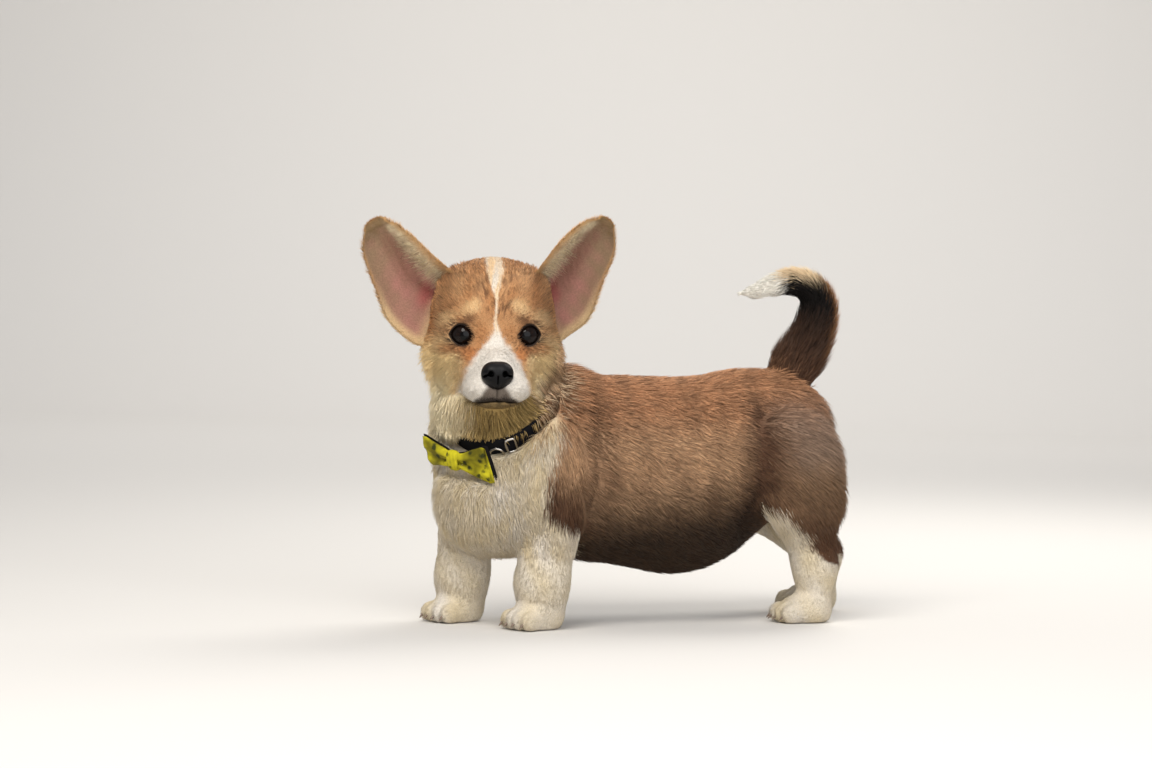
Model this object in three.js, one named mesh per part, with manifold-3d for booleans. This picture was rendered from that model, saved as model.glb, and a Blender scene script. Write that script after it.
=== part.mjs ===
// A life-size pembroke welsh corgi puppy, about ten weeks old, standing side on with its head turned to look over
// its left shoulder. It wears a dark collar with a yellow bow.
// Millimetres, +X towards the chest, +Y to the dog's left, +Z up. The soles stand at Z = 0.
// The body is a set of skins, each drawn down from outside onto a blend of rounded lumps. The skins and the locks of
// fur are joined into one whole, and thin cuts then part it where a person would name its parts.
import * as THREE from "three";
import { LoftGeometry } from "three/addons/geometries/LoftGeometry.js";
import { mergeVertices } from "three/addons/utils/BufferGeometryUtils.js";
import Module from "manifold-3d";

const wasm = await Module();
wasm.setup();

// Driving dimensions
const GAP = 0.3; // between neighbours that touch
const MOUTH_GAP = 0.9; // the line of the mouth
const MARCH = 1.5; // step of the search for a skin
const FAR = 400; // longer than any part, for cutting blocks

// The turned front: the chest faces this far to the dog's left of the hips, about this point
const CHEST_TURN = 20;
const CHEST = [140, 20, 0];
// The head: the point midway between the eyes, and how far it is turned, tipped and tilted
const EYES = [167, 50, 229.5];
const HEAD_TURN = 75;
const HEAD_TILT = 0.8;

const FUR = { tan: 0xb98a5e, sable: 0x8c6a4f, white: 0xe9e0d2, dark: 0x3a2a20, pink: 0xb98d80 };

// Lumps, each named, with the place of its middle and its half sizes. turn is in degrees about Z, Y and X.
const TORSO = {
  rump: { at: [-95, 0, 142], half: [46, 50, 57] },
  loin: { at: [-50, 0, 133], half: [60, 55, 62] },
  belly: { at: [-2, 0, 110], half: [84, 63, 72] },
  ribs: { at: [58, 4, 121], half: [84, 60, 73], turn: [6, 0, 0] },
  back: { at: [-4, 0, 161], half: [130, 38, 34.5] },
  croup: { at: [-70, 0, 160.5], half: [50, 35, 40] },
  withers: { at: [104, 12, 160], half: [50, 42, 46], turn: [14, 0, 0] },
};
const CHEST_LUMPS = {
  shoulders: { at: [-10, 0, 108], half: [46, 59, 50] },
  breastbone: { at: [24, -6, 104], half: [34, 44, 42] },
  yoke: { at: [-12, 0, 136], half: [44, 44, 48], turn: [27, 43, 0] },
  brisket: { at: [12, 0, 90], half: [42, 42, 32] },
};
const NECK = {
  root: { at: [156, 6, 150], half: [48, 38, 44], turn: [-22, 0, 0] },
  middle: { at: [158, 16, 178], half: [47, 42, 36], turn: [-22, 0, 0] },
  nape: { at: [146, 8, 200], half: [42, 40, 42] },
};

// In the head's own frame: X towards the nose, Y to its left, Z up, with the eyes' midpoint at the origin
const HEAD = {
  skull: { at: [-32, 0, 16], half: [45, 50, 45] },
  crown: { at: [-26, 0, 36], half: [26, 40, 21] },
  forehead: { at: [-14, 0, 24], half: [24, 32, 26] },
  cheeks: { at: [-28, 0, -12], half: [36, 55, 36] },
  jowls: { at: [-22, 0, -32], half: [30, 45, 30] },
};
const MUZZLE = {
  stop: { at: [-2, 0, -6], half: [16, 17, 16] },
  side_left: { at: [0, 17, -24], half: [22, 15, 17] },
  side_right: { at: [0, -17, -24], half: [22, 15, 17] },
  bridge: { at: [14, 0, -19], half: [30, 14, 11], turn: [0, 20, 0] },
  middle: { at: [14, 0, -33], half: [30, 22, 18], turn: [0, 8, 0] },
  lip_left: { at: [20, 14, -40.5], half: [22, 14, 11.5] },
  lip_right: { at: [20, -14, -40.5], half: [22, 14, 11.5] },
  chin: { at: [15, 0, -47.5], half: [26, 16, 9], turn: [0, -4, 0] },
};
const EYE = { across: 23.8, radius: 10.4, set_back: 6.5, out_turn: 14, opening: [9, 9.6, 8.8] };
const LID = { wide: 9.3, high: 8.4, thick: 1.3 };
const NOSE_LUMPS = {
  middle: { at: [40, -1, -28.8], half: [10, 10.4, 9.2] },
  wing_left: { at: [41, 4.2, -28.4], half: [9, 6.8, 7.8] },
  wing_right: { at: [41, -6.2, -28.4], half: [9, 6.8, 7.8] },
  lip: { at: [39, -1, -34.4], half: [8, 5, 5.6] },
};
// Its holes, each at a place behind the front of the nose, across from its middle and above it
const NOSTRIL = { behind: 1, across: 5.4, above: 0.5, turn: 24, half: [5, 2.5, 2.25] };
const NOSE_SLIT = { behind: 4, across: 9.2, above: -1, turn: 40, half: [5, 3, 1.1] };
const NOSE_GROOVE = [6, 0.9, 14];
// The mouth seen from the side: the corner, the dip of the lip and the front, along X and Z
const MOUTH = {
  corner: [-4, -43],
  dip: [20, -50.2],
  front: [60, -44.6],
  floor: -90,
  back: 2,
  back_top: -45,
  half_wide: 60,
};

// Each leg from its top to its foot: a chain of points with a radius at each, and the paw
const FORELEG = {
  left: { forward: -3, across: 38 },
  right: { forward: 17, across: -38 },
  shoulder: { rise: 122, ahead: -6, half: [34, 22, 46] },
  elbow: { rise: 88, ahead: -6, radius: 26.5 },
  wrist: { rise: 36, ahead: 2, radius: 21.5 },
  ankle: { rise: 20, ahead: 2, radius: 20.5 },
};
const HINDLEG = {
  left: { across: 45, stride: 0 },
  right: { across: -45, stride: -46 },
  hip: { at: [-92, 0, 128], half: [43, 23, 46] },
  thigh: { at: [-102, 0, 100], half: [35, 22, 32] },
  knee: { at: [-103, 0, 86], radius: 25 },
  hock: { at: [-113, 0, 47], radius: 18.5 },
  ankle: { at: [-113, 0, 20], radius: 16 },
};
const PAW = { long: 29, wide: 21, high: 16, toe: 8.5, toes: 4, claw_long: 6, claw_thick: 1.5 };
const PAW_CUT = 25; // height where a paw parts from its leg
const SHANK_CUT = 68; // height where a hind leg parts below the thigh

// The outlines of the plugs a leg parts from the body by, in X and Z, and how near the middle they start
const SHOULDER_PLUG = [
  [-36, -9],
  [-36, 60],
  [-38, 92],
  [-28, 114],
  [-4, 122],
  [20, 114],
  [32, 94],
  [34, 60],
  [36, -9],
];
const HIP_PLUG = [
  [-210, -9],
  [-210, 96],
  [-126, 122],
  [-112, 144],
  [-90, 152],
  [-64, 142],
  [-54, 114],
  [-58, 82],
  [-58, -9],
];
const PLUG_START = 13;
const TRUNK_CUTS = [-46, 70]; // along X, between rump, barrel and chest

// The tail's line seen from its side, along X and Z, with its half thickness at each point
const TAIL = {
  line: [
    [-88, 162],
    [-108, 200],
    [-126, 232],
    [-131, 256],
    [-124, 269.5],
    [-109, 275.5],
    [-92, 273],
    [-76, 268],
    [-62, 265.5],
  ],
  thick: [23, 20, 16.5, 14.5, 13, 11.5, 9.8, 7.6, 3.4],
  cuts: [0.36, 0.7], // shares of its length where it parts
};

// Each ear from its root to its tip: its inner edge and its outer edge, in the head's frame with Y outwards,
// and for both the depth of the cup
const EAR = {
  left: {
    inner: [[-14, 29, 43], [-16, 38.5, 55], [-18, 47, 66.5], [-22, 59, 79], [-27, 74, 89], [-30, 86.5, 91.5]],
    outer: [[-22, 40, -14], [-24, 58, -1], [-26, 74, 12], [-28, 86, 42], [-31, 96.5, 68], [-30, 93, 90]],
  },
  right: {
    inner: [[-14, 30, 44], [-16, 41, 52], [-18, 52, 60.5], [-22, 64, 73.5], [-27, 77, 85.5], [-30, 89, 90.5]],
    outer: [[-22, 42, -14], [-24, 64, -5.5], [-27, 82, 11], [-29, 92.5, 37.4], [-31, 102, 68], [-30, 97, 88.5]],
  },
  cup: [20, 20, 17, 13, 7, 1],
  thick: [5, 4.4, 3.8, 3.4, 3, 2.4],
};

// The collar's ring: its middle, how it leans and which way, its inner radius, and the two things on it
const COLLAR = { at: [152, 20.6, 170], lean: 43, way: 47, radius: 40, wide: 14.5, thick: 2.6, room: 4, steps: 32 };
const BOW = {
  at: [194.8, 37.6, 131.3],
  turn: 26,
  tip: 22,
  roll: -8.5,
  wing: 33.5,
  high: { front: 15, back: 12 },
  lean: -0.2, // how far its ends lean, for each mm of height
  sweep: 0.15, // how far its wings are swept back, for each mm of length
  pinch: 6,
  thick: 6,
  knot: [8, 6, 8.5],
};
const TAG = { angle: 14, radius: 5.5, wire: 1, buckle: [2.4, 10, 15], buckle_angle: 31 };

// Locks of fur: their length, half width, half thickness, and how far their tips stand off the skin
const LOCKS = {
  ruff: { long: 36, wide: 9, thick: 2.6, lift: 4 },
  cheek: { long: 22, wide: 6, thick: 2, lift: 2.5 },
  back: { long: 34, wide: 8.5, thick: 2.2, lift: 3 },
  breech: { long: 30, wide: 6.5, thick: 2.4, lift: 3.5 },
  belly: { long: 28, wide: 8.5, thick: 2.2, lift: 3 },
  tail: { long: 30, wide: 6, thick: 2.4, lift: 3.5 },
};
// Where they grow: rows below the collar; spots on the cheeks, along X and Z; spots on the breeches, by height and
// how far they face outwards; rows on the body, by count, ends, way out, way they lie, and size
const RUFF = { rows: [16, 36, 58], from: -144, to: 150, step: 32, clear: 30, reach: 74 };
const CHEEK_SPOTS = [[-40, 2], [-22, -8], [-48, -16], [-34, -24], [-20, -30], [-46, -36]];
const BREECH_SPOTS = [[136, 0.3], [128, 1], [112, 0.2], [104, 0.8], [90, 0.1], [84, 0.7]];
const BODY_ROWS = [
  { count: 5, from: [-70, 0, 130], to: [96, 10, 130], way: [0, 0.45, 1], lie: [-1, 0, 0], size: "back" },
  { count: 4, from: [-40, 0, 130], to: [84, 6, 130], way: [0, 1, 0.5], lie: [-1, 0, -0.25], size: "back" },
  { count: 4, from: [-34, 0, 120], to: [62, 4, 120], way: [0, 0.9, -1], lie: [-0.5, 0, -0.6], size: "belly" },
];
const TAIL_LOCKS = { count: 11, from: 0.2, step: 0.06 };
const LOCK_LINE = [[0, -1.4, 0.6], [0.28, 0.25, 1], [0.66, 0.6, 0.8], [1, 1, 0.1]]; // shares: along, lift, width

const radians = THREE.MathUtils.degToRad;
const vec = (p) => new THREE.Vector3(...p);
const sides = ["left", "right"];
const signOf = (side) => (side === "left" ? 1 : -1);

// Frames
const turned = (at, turn = 0, tip = 0, tilt = 0) =>
  new THREE.Matrix4()
    .makeRotationFromEuler(new THREE.Euler(radians(tilt), radians(tip), radians(turn), "ZYX"))
    .setPosition(...at);
const CHEST_FRAME = turned(CHEST, CHEST_TURN);
const HEAD_FRAME = turned(EYES, HEAD_TURN, 0, HEAD_TILT);
const COLLAR_FRAME = turned(COLLAR.at, COLLAR.way, COLLAR.lean);
const BOW_FRAME = turned(BOW.at, BOW.turn, BOW.tip, BOW.roll);

// Fields: each is a function of a point that is below zero inside, and about the distance to the skin in mm

// An ellipsoid, given in the frame of a matrix
function lump({ at, half, turn = [0, 0, 0] }, frame = new THREE.Matrix4()) {
  const inward = frame.clone().multiply(turned(at, ...turn)).invert();
  const [a, b, c] = half;
  const p = new THREE.Vector3();
  return (q) => {
    p.copy(q).applyMatrix4(inward);
    const near = Math.hypot(p.x / a, p.y / b, p.z / c);
    const steep = Math.hypot(p.x / a / a, p.y / b / b, p.z / c / c);
    return steep > 1e-9 ? (near * (near - 1)) / steep : -Math.min(a, b, c);
  };
}

// A bone with flesh: a straight run whose radius changes evenly from one end to the other
function limb(from, fromRadius, to, toRadius) {
  const run = to.clone().sub(from);
  const p = new THREE.Vector3();
  return (q) => {
    p.copy(q).sub(from);
    const t = THREE.MathUtils.clamp(p.dot(run) / run.lengthSq(), 0, 1);
    return p.addScaledVector(run, -t).length() - THREE.MathUtils.lerp(fromRadius, toRadius, t);
  };
}

// Several fields as one, rounded together over about this many mm
function blend(softness, fields) {
  return (q) =>
    fields.reduce((sum, field) => {
      const d = field(q);
      const h = Math.max(softness - Math.abs(sum - d), 0) / softness;
      return Math.min(sum, d) - (h * h * softness) / 4;
    }, 1e3);
}
const lumps = (named, frame) => Object.values(named).map((form) => lump(form, frame));

// The furthest point along a ray that is within a field's skin grown by a little, searched for from outside
function skinPoint(field, from, way, reach, grow) {
  let out = reach;
  const outside = (r) => field(from.clone().addScaledVector(way, r)) > grow;
  while (out > MARCH && outside(out)) out -= MARCH;
  let low = out;
  let high = out + MARCH;
  for (let i = 0; i < 10; i++) {
    const middle = (low + high) / 2;
    if (outside(middle)) high = middle;
    else low = middle;
  }
  return from.clone().addScaledVector(way, low);
}

// A closed skin on a field: rings of rays stand out from a line through it, and fan out past its two ends
function skin(field, line, { around = 24, along = 20, end = 0.25, reach = 110, grow = 0 } = {}) {
  const curve = new THREE.CatmullRomCurve3(line);
  const rings = [];
  for (let i = 0; i <= along; i++) {
    const s = THREE.MathUtils.lerp(0.02, 0.98, i / along);
    const t = THREE.MathUtils.clamp((s - end) / (1 - 2 * end), 0, 1);
    const fan = s < end ? s / end - 1 : s > 1 - end ? 1 - (1 - s) / end : 0;
    const tilt = (fan * Math.PI) / 2;
    const from = curve.getPoint(t);
    const ahead = curve.getTangent(t);
    const across = new THREE.Vector3(0, 1, 0).addScaledVector(ahead, -ahead.y).normalize();
    const third = ahead.clone().cross(across);
    const ring = [];
    for (let j = 0; j < around; j++) {
      const angle = (2 * Math.PI * j) / around;
      const way = across.clone().multiplyScalar(Math.cos(angle)).addScaledVector(third, Math.sin(angle));
      way.multiplyScalar(Math.cos(tilt)).addScaledVector(ahead, Math.sin(tilt));
      ring.push(skinPoint(field, from, way, reach, grow));
    }
    rings.push(ring);
  }
  return solid(new LoftGeometry(rings, { capStart: true, capEnd: true }));
}
const placed = (points, frame = new THREE.Matrix4()) => points.map((p) => vec(p).applyMatrix4(frame));

// The way out of a field's skin near a point
function wayOut(field, spot) {
  const slope = [0, 1, 2].map((axis) => {
    const side = spot.clone();
    side.setComponent(axis, side.getComponent(axis) + 1);
    return field(side) - field(spot);
  });
  return vec(slope).normalize();
}

// Even spread with a little chance in it, the same each time
let chance = 11;
function jitter(half) {
  chance = (chance * 16807) % 2147483647;
  return half * ((2 * chance) / 2147483647 - 1);
}

// Solids

function solid(geometry, frame) {
  const bare = new THREE.BufferGeometry().setAttribute("position", geometry.getAttribute("position").clone());
  if (geometry.index) bare.setIndex(geometry.index.clone());
  if (frame) bare.applyMatrix4(frame);
  const merged = mergeVertices(bare, 1e-4);
  const index = merged.index.array;
  const kept = [];
  for (let i = 0; i < index.length; i += 3) {
    const [a, b, c] = [index[i], index[i + 1], index[i + 2]];
    if (a !== b && b !== c && c !== a) kept.push(a, b, c);
  }
  const vertProperties = merged.getAttribute("position").array;
  return new wasm.Manifold(new wasm.Mesh({ numProp: 3, vertProperties, triVerts: new Uint32Array(kept) }));
}
const join = (solids) => solids.reduce((all, one) => all.add(one));
const largest = (one) => one.decompose().reduce((best, piece) => (piece.volume() > best.volume() ? piece : best));
const SMOOTHED = 0.3; // how far a face may move where small triangles are merged
const box = (size, frame) => solid(new THREE.BoxGeometry(...size), frame);
const ball = (half, frame, [around, rows] = [20, 14]) =>
  solid(new THREE.SphereGeometry(1, around, rows).scale(...half), frame);

// A closed outline of points in X and Z, run straight along Y from one place to another
function slab(outline, from, to, frame = new THREE.Matrix4()) {
  const shape = new THREE.Shape(outline.map(([x, z]) => new THREE.Vector2(x, z)));
  const geometry = new THREE.ExtrudeGeometry(shape, { depth: to - from, bevelEnabled: false });
  geometry.applyMatrix4(new THREE.Matrix4().makeRotationX(Math.PI / 2));
  geometry.translate(0, to, 0);
  return solid(geometry, frame);
}

// An outline moved outwards by this much
function widened(outline, by) {
  const points = outline.map(([x, z]) => new THREE.Vector2(x, z));
  const turn = THREE.ShapeUtils.isClockWise(points) ? 1 : -1;
  return points.map((point, i) => {
    const before = point.clone().sub(points.at(i - 1)).normalize();
    const after = points[(i + 1) % points.length].clone().sub(point).normalize();
    const mean = before.clone().add(after).normalize();
    const scale = (by * turn) / mean.dot(before);
    return [point.x - mean.y * scale, point.y + mean.x * scale];
  });
}

// A bar with rounded section along a curve, whose half thickness changes along it
function tapered(points, radii, { around = 12, along = 12, flat = 1 } = {}) {
  const curve = new THREE.CatmullRomCurve3(points);
  const sizes = new THREE.SplineCurve(radii.map((value, i) => new THREE.Vector2(i, value)));
  const frames = curve.computeFrenetFrames(along);
  const rings = [];
  for (let i = 0; i <= along; i++) {
    const t = i / along;
    const radius = Math.max(sizes.getPoint(t).y, 0.3);
    const spot = curve.getPoint(t);
    const ring = [];
    for (let j = 0; j < around; j++) {
      const angle = (2 * Math.PI * j) / around;
      const way = frames.normals[i].clone().multiplyScalar(radius * flat * Math.cos(angle));
      ring.push(spot.clone().add(way).addScaledVector(frames.binormals[i], radius * Math.sin(angle)));
    }
    rings.push(ring);
  }
  return solid(new LoftGeometry(rings, { capStart: true, capEnd: true }));
}

// A lock of fur: a flat tapered blade whose root is sunk into a field's skin and which follows it to a lifted tip
function lock(field, spot, lie, { long, wide, thick, lift }, grow = 0) {
  const out = wayOut(field, spot);
  const way = lie.clone().addScaledVector(out, -lie.dot(out)).normalize();
  const across = out.clone().cross(way);
  const rings = LOCK_LINE.map(([along, rise, share]) => {
    const at = spot.clone().addScaledVector(way, long * along);
    at.addScaledVector(out, lift * rise - field(at));
    return [[1, -0.4], [0, 1], [-1, -0.4]].map(([a, b]) => {
      const corner = at.clone().addScaledVector(across, a * (wide * share + grow));
      return corner.addScaledVector(out, b * (thick * share + grow));
    });
  });
  return solid(new LoftGeometry(rings, { capStart: true, capEnd: true }));
}

// A ring of wire or strap: the given outline of points, as far out and as far up, run round a circle or ellipse
function hoop(outline, radii, steps, frame) {
  const rings = [];
  for (let i = 0; i < steps; i++) {
    const angle = (2 * Math.PI * i) / steps;
    const way = new THREE.Vector2(Math.cos(angle), Math.sin(angle));
    const spot = ([out, up]) => new THREE.Vector3(way.x * (radii[0] + out), way.y * (radii[1] + out), up);
    rings.push(outline.map((point) => spot(point).applyMatrix4(frame)).reverse());
  }
  rings.push(rings[0].map((p) => p.clone()));
  return solid(new LoftGeometry(rings));
}
const rectangle = (from, to, half) => [[from, -half], [to, -half], [to, half], [from, half]];
const circle = (radius, sides) =>
  Array.from({ length: sides }, (_, i) => {
    const angle = (2 * Math.PI * i) / sides;
    return [radius * Math.cos(angle), radius * Math.sin(angle)];
  });

// The body's skins

const torsoField = blend(16, [...lumps(TORSO), ...lumps(CHEST_LUMPS, CHEST_FRAME)]);
const torsoSkin = (grow = 0) => {
  const line = placed([[-95, 0, 140], [-20, 0, 122], [60, 5, 125], [CHEST[0] + 6, CHEST[1], 125]]);
  return skin(torsoField, line, { around: 24, along: 19, end: 0.22, reach: 120, grow });
};

const neckField = blend(14, lumps(NECK));
const coatField = (q) => Math.min(torsoField(q), neckField(q));

// The ruff hangs in rows round the neck below the collar; where the bow and the tag lie there is none
const axesOf = (frame) => [0, 1, 2].map((i) => new THREE.Vector3().setFromMatrixColumn(frame, i));
function ruffLocks() {
  const [, , axis] = axesOf(COLLAR_FRAME);
  const made = [];
  for (const [row, below] of RUFF.rows.entries()) {
    const start = RUFF.from + (row % 2) * (RUFF.step / 2);
    for (let angle = start; angle <= RUFF.to; angle += RUFF.step) {
      const way = axesOf(COLLAR_FRAME.clone().multiply(turned([0, 0, 0], angle + jitter(5))))[0];
      const from = vec(COLLAR.at).addScaledVector(axis, -below - jitter(3));
      const spot = skinPoint(coatField, from, way, RUFF.reach + 4, 0);
      const lie = axis.clone().negate().addScaledVector(way, 0.3);
      const clear = spot.distanceTo(vec(BOW.at)) > RUFF.clear || row === 2;
      if (clear && spot.distanceTo(from) < RUFF.reach) made.push(lock(coatField, spot, lie, LOCKS.ruff));
    }
  }
  return made;
}

// Rows along both sides of the body
const bodyLocks = () =>
  BODY_ROWS.flatMap(({ count, from, to, way, lie, size }) =>
    [1, -1].flatMap((sign) =>
      Array.from({ length: count }, (_, i) => {
        const start = vec(from).lerp(vec(to), (i + 0.5 + jitter(0.25)) / count);
        const out = new THREE.Vector3(way[0] + jitter(0.1), sign * way[1] + jitter(0.25), way[2] + jitter(0.1));
        return lock(coatField, skinPoint(coatField, start, out.normalize(), 110, 0), vec(lie), LOCKS[size]);
      }),
    ),
  );

const cheekLocks = (grow) =>
  [1, -1].flatMap((sign) =>
    CHEEK_SPOTS.map(([x, z]) => {
      const way = new THREE.Vector3(-0.15, sign, -0.1).normalize();
      const spot = skinPoint(headField, vec([x, 0, z]), way, 80, 0);
      return lock(headField, spot, new THREE.Vector3(-0.25, 0.1 * sign, -1), LOCKS.cheek, grow);
    }),
  );

const neckSkin = () =>
  skin(neckField, placed([[150, 20, 165], [152, 18, 200]]), { around: 20, along: 10, end: 0.4, reach: 90 });

const headField = blend(12, lumps(HEAD));
const muzzleField = blend(8, lumps(MUZZLE));
const headForm = (grow = 0) => {
  const skull = skin(headField, placed([[-34, 0, 4], [-20, 0, -10]]), { around: 26, along: 18, end: 0.42, grow });
  const face = skin(muzzleField, placed([[-2, 0, -22], [24, 0, -36]]), { around: 22, along: 11, end: 0.3, grow });
  return join([skull, face, ...cheekLocks(grow)]).transform(HEAD_FRAME.elements);
};

// A place on a foreleg's line, at its own distance from the middle of the chest
const forelegPoint = (side, { ahead, rise }) =>
  new THREE.Vector3(FORELEG[side].forward + ahead, FORELEG[side].across, rise).applyMatrix4(CHEST_FRAME);

// How far each toe is from the paw's middle line, and how far ahead of its leg it reaches
const toePlaces = Array.from({ length: PAW.toes }, (_, i) => {
  const across = ((2 * i + 1) / PAW.toes - 1) * PAW.wide * 0.8;
  return { across, ahead: PAW.long - PAW.toe - 0.016 * across * across };
});

function paw(frame) {
  const { long, wide, high, toe, claw_long, claw_thick } = PAW;
  const forms = toePlaces.map(({ across, ahead }) =>
    lump({ at: [ahead, across, toe * 0.9], half: [toe * 1.35, toe * 0.82, toe * 1.15] }, frame),
  );
  const pad = lump({ at: [2, 0, high * 0.55], half: [long * 0.82, wide * 0.9, high] }, frame);
  const line = placed([[-8, 0, 8], [14, 0, 8]], frame);
  const foot = skin(blend(4, [pad, ...forms]), line, { around: 14, along: 8, end: 0.36, reach: 60 });
  const profile = [[0, 0], [claw_thick, 0], [claw_thick * 0.8, claw_long * 0.5], [0, claw_long]];
  const cone = new THREE.LatheGeometry(profile.map(([r, y]) => new THREE.Vector2(r, y)), 4);
  cone.rotateZ(-Math.PI / 2);
  const claws = toePlaces.map(({ across, ahead }) => {
    const root = turned([ahead + toe * 1.35 - claw_long * 0.45, across, toe * 0.75], 0, 24);
    return solid(cone, root.premultiply(frame));
  });
  return join([foot, ...claws]);
}

function foreleg(side) {
  const { shoulder, elbow, wrist, ankle } = FORELEG;
  const { forward, across } = FORELEG[side];
  const spot = (place) => forelegPoint(side, place);
  const field = blend(12, [
    lump({ at: [forward + shoulder.ahead, across, shoulder.rise], half: shoulder.half }, CHEST_FRAME),
    limb(spot(elbow), elbow.radius, spot(wrist), wrist.radius),
    limb(spot(wrist), wrist.radius, spot(ankle), ankle.radius),
  ]);
  const line = [shoulder, elbow, wrist, ankle].map(spot);
  const leg = skin(field, line, { around: 16, along: 11, end: 0.16, reach: 60 });
  const foot = forelegPoint(side, { ahead: 4, rise: 0 });
  return leg.add(paw(turned(foot.toArray(), CHEST_TURN)));
}

const hindPoint = (side, { at: [x, , z] }) => {
  const share = (HINDLEG.hip.at[2] - z) / (HINDLEG.hip.at[2] - HINDLEG.hock.at[2]);
  const drop = THREE.MathUtils.clamp(share, 0, 1);
  return new THREE.Vector3(x + HINDLEG[side].stride * drop * drop, HINDLEG[side].across, z);
};
function hindleg(side) {
  const { hip, thigh, knee, hock, ankle } = HINDLEG;
  const spot = (place) => hindPoint(side, place);
  const field = blend(12, [
    lump({ at: spot(hip).toArray(), half: hip.half, turn: [0, 10, 0] }),
    lump({ at: spot(thigh).toArray(), half: thigh.half, turn: [0, 10, 0] }),
    limb(spot(knee), knee.radius, spot(hock), hock.radius),
    limb(spot(hock), hock.radius, spot(ankle), ankle.radius),
  ]);
  const leg = skin(field, [hip, knee, hock, ankle].map(spot), { around: 16, along: 14, end: 0.14, reach: 75 });
  const foot = spot(ankle);
  const breeches = BREECH_SPOTS.map(([z, outward]) => {
    const from = hindPoint(side, { at: [hip.at[0], 0, z] });
    const way = new THREE.Vector3(-1, signOf(side) * outward, 0).normalize();
    return lock(field, skinPoint(field, from, way, 80, 0), new THREE.Vector3(-0.35, 0, -1), LOCKS.breech);
  });
  return join([leg, paw(turned([foot.x + 6, foot.y, 0])), ...breeches]);
}

const tailLine = TAIL.line.map(([x, z]) => new THREE.Vector3(x, 0, z));
const tailCurve = new THREE.CatmullRomCurve3(tailLine);
const tailField = (q) => {
  const bones = tailLine.slice(1).map((to, i) => limb(tailLine[i], TAIL.thick[i], to, TAIL.thick[i + 1])(q));
  return Math.min(...bones);
};
function tailSolid() {
  const locks = [];
  for (let i = 0; i < TAIL_LOCKS.count; i++) {
    const t = TAIL_LOCKS.from + TAIL_LOCKS.step * i;
    const lie = tailCurve.getTangent(t);
    const side = [-1, 0, 1][i % 3];
    const away = new THREE.Vector3(-lie.z, side * 1.6 + jitter(0.2), lie.x);
    const spot = skinPoint(tailField, tailCurve.getPoint(t), away.normalize(), 30, 0);
    locks.push(lock(tailField, spot, lie, LOCKS.tail));
  }
  return join([tapered(tailLine, TAIL.thick, { around: 12, along: 14 }), ...locks]);
}

// The head's own details, made in its frame

const eyeFrame = (side) => {
  const sign = signOf(side);
  return turned([-EYE.set_back, sign * EYE.across, 0], sign * EYE.out_turn).premultiply(HEAD_FRAME);
};
const eyeball = (side, grow = 0) => ball(Array(3).fill(EYE.radius + grow), eyeFrame(side), [14, 8]);
const eyeOpening = (side) => ball(EYE.opening, eyeFrame(side).multiply(turned([EYE.radius, 0, 0])), [14, 6]);

// The rim of the lids, lying on the front of the eye
function lids(side) {
  const rim = Array.from({ length: 15 }, (_, i) => {
    const angle = (2 * Math.PI * i) / 14;
    const across = LID.wide * Math.cos(angle);
    const up = LID.high * Math.sin(angle);
    const ahead = Math.sqrt(Math.max(EYE.radius ** 2 - 0.7 * (across ** 2 + up ** 2), 1)) + LID.thick * 0.5;
    return new THREE.Vector3(ahead, across, up);
  });
  const section = circle(LID.thick, 4);
  const rings = rim.map((spot) => {
    const away = new THREE.Vector3(0, spot.y, spot.z).normalize();
    return section.map(([out, ahead]) => {
      const corner = spot.clone().addScaledVector(away, out);
      return corner.setX(corner.x + ahead);
    });
  });
  return solid(new LoftGeometry(rings.map((ring) => ring.reverse())), eyeFrame(side));
}

// The line of the mouth as the roof of a block that takes in the whole jaw
function jawBlock(grow) {
  const { corner, dip, front, floor, back, back_top, half_wide } = MOUTH;
  const line = new THREE.SplineCurve([corner, dip, front].map(([x, z]) => new THREE.Vector2(x, z + grow)));
  const roof = line.getPoints(8).map((p) => [p.x, p.y]);
  const behind = back - grow;
  const ahead = roof.reverse().filter(([x]) => x > behind);
  const outline = [[behind, floor], [front[0], floor], ...ahead, [behind, back_top + grow]];
  return slab(outline, -half_wide, half_wide, HEAD_FRAME);
}

const noseForm = (grow = 0) => {
  const [x, y, z] = NOSE_LUMPS.middle.at;
  const line = placed([[x - 3, y, z], [x + 3, y, z]]);
  return skin(blend(5, lumps(NOSE_LUMPS)), line, { around: 16, along: 8, end: 0.42, reach: 24, grow });
};
function nose() {
  const { at, half } = NOSE_LUMPS.middle;
  const spot = (behind, across, above) => [at[0] + half[0] - behind, at[1] + across, at[2] + above];
  let made = noseForm();
  for (const sign of [1, -1]) {
    for (const { behind, across, above, turn, half: size } of [NOSTRIL, NOSE_SLIT]) {
      made = made.subtract(ball(size, turned(spot(behind, sign * across, above), sign * turn), [7, 5]));
    }
  }
  made = made.subtract(box(NOSE_GROOVE, turned(spot(-0.5, 0, -8))));
  return made.transform(HEAD_FRAME.elements);
}

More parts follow.
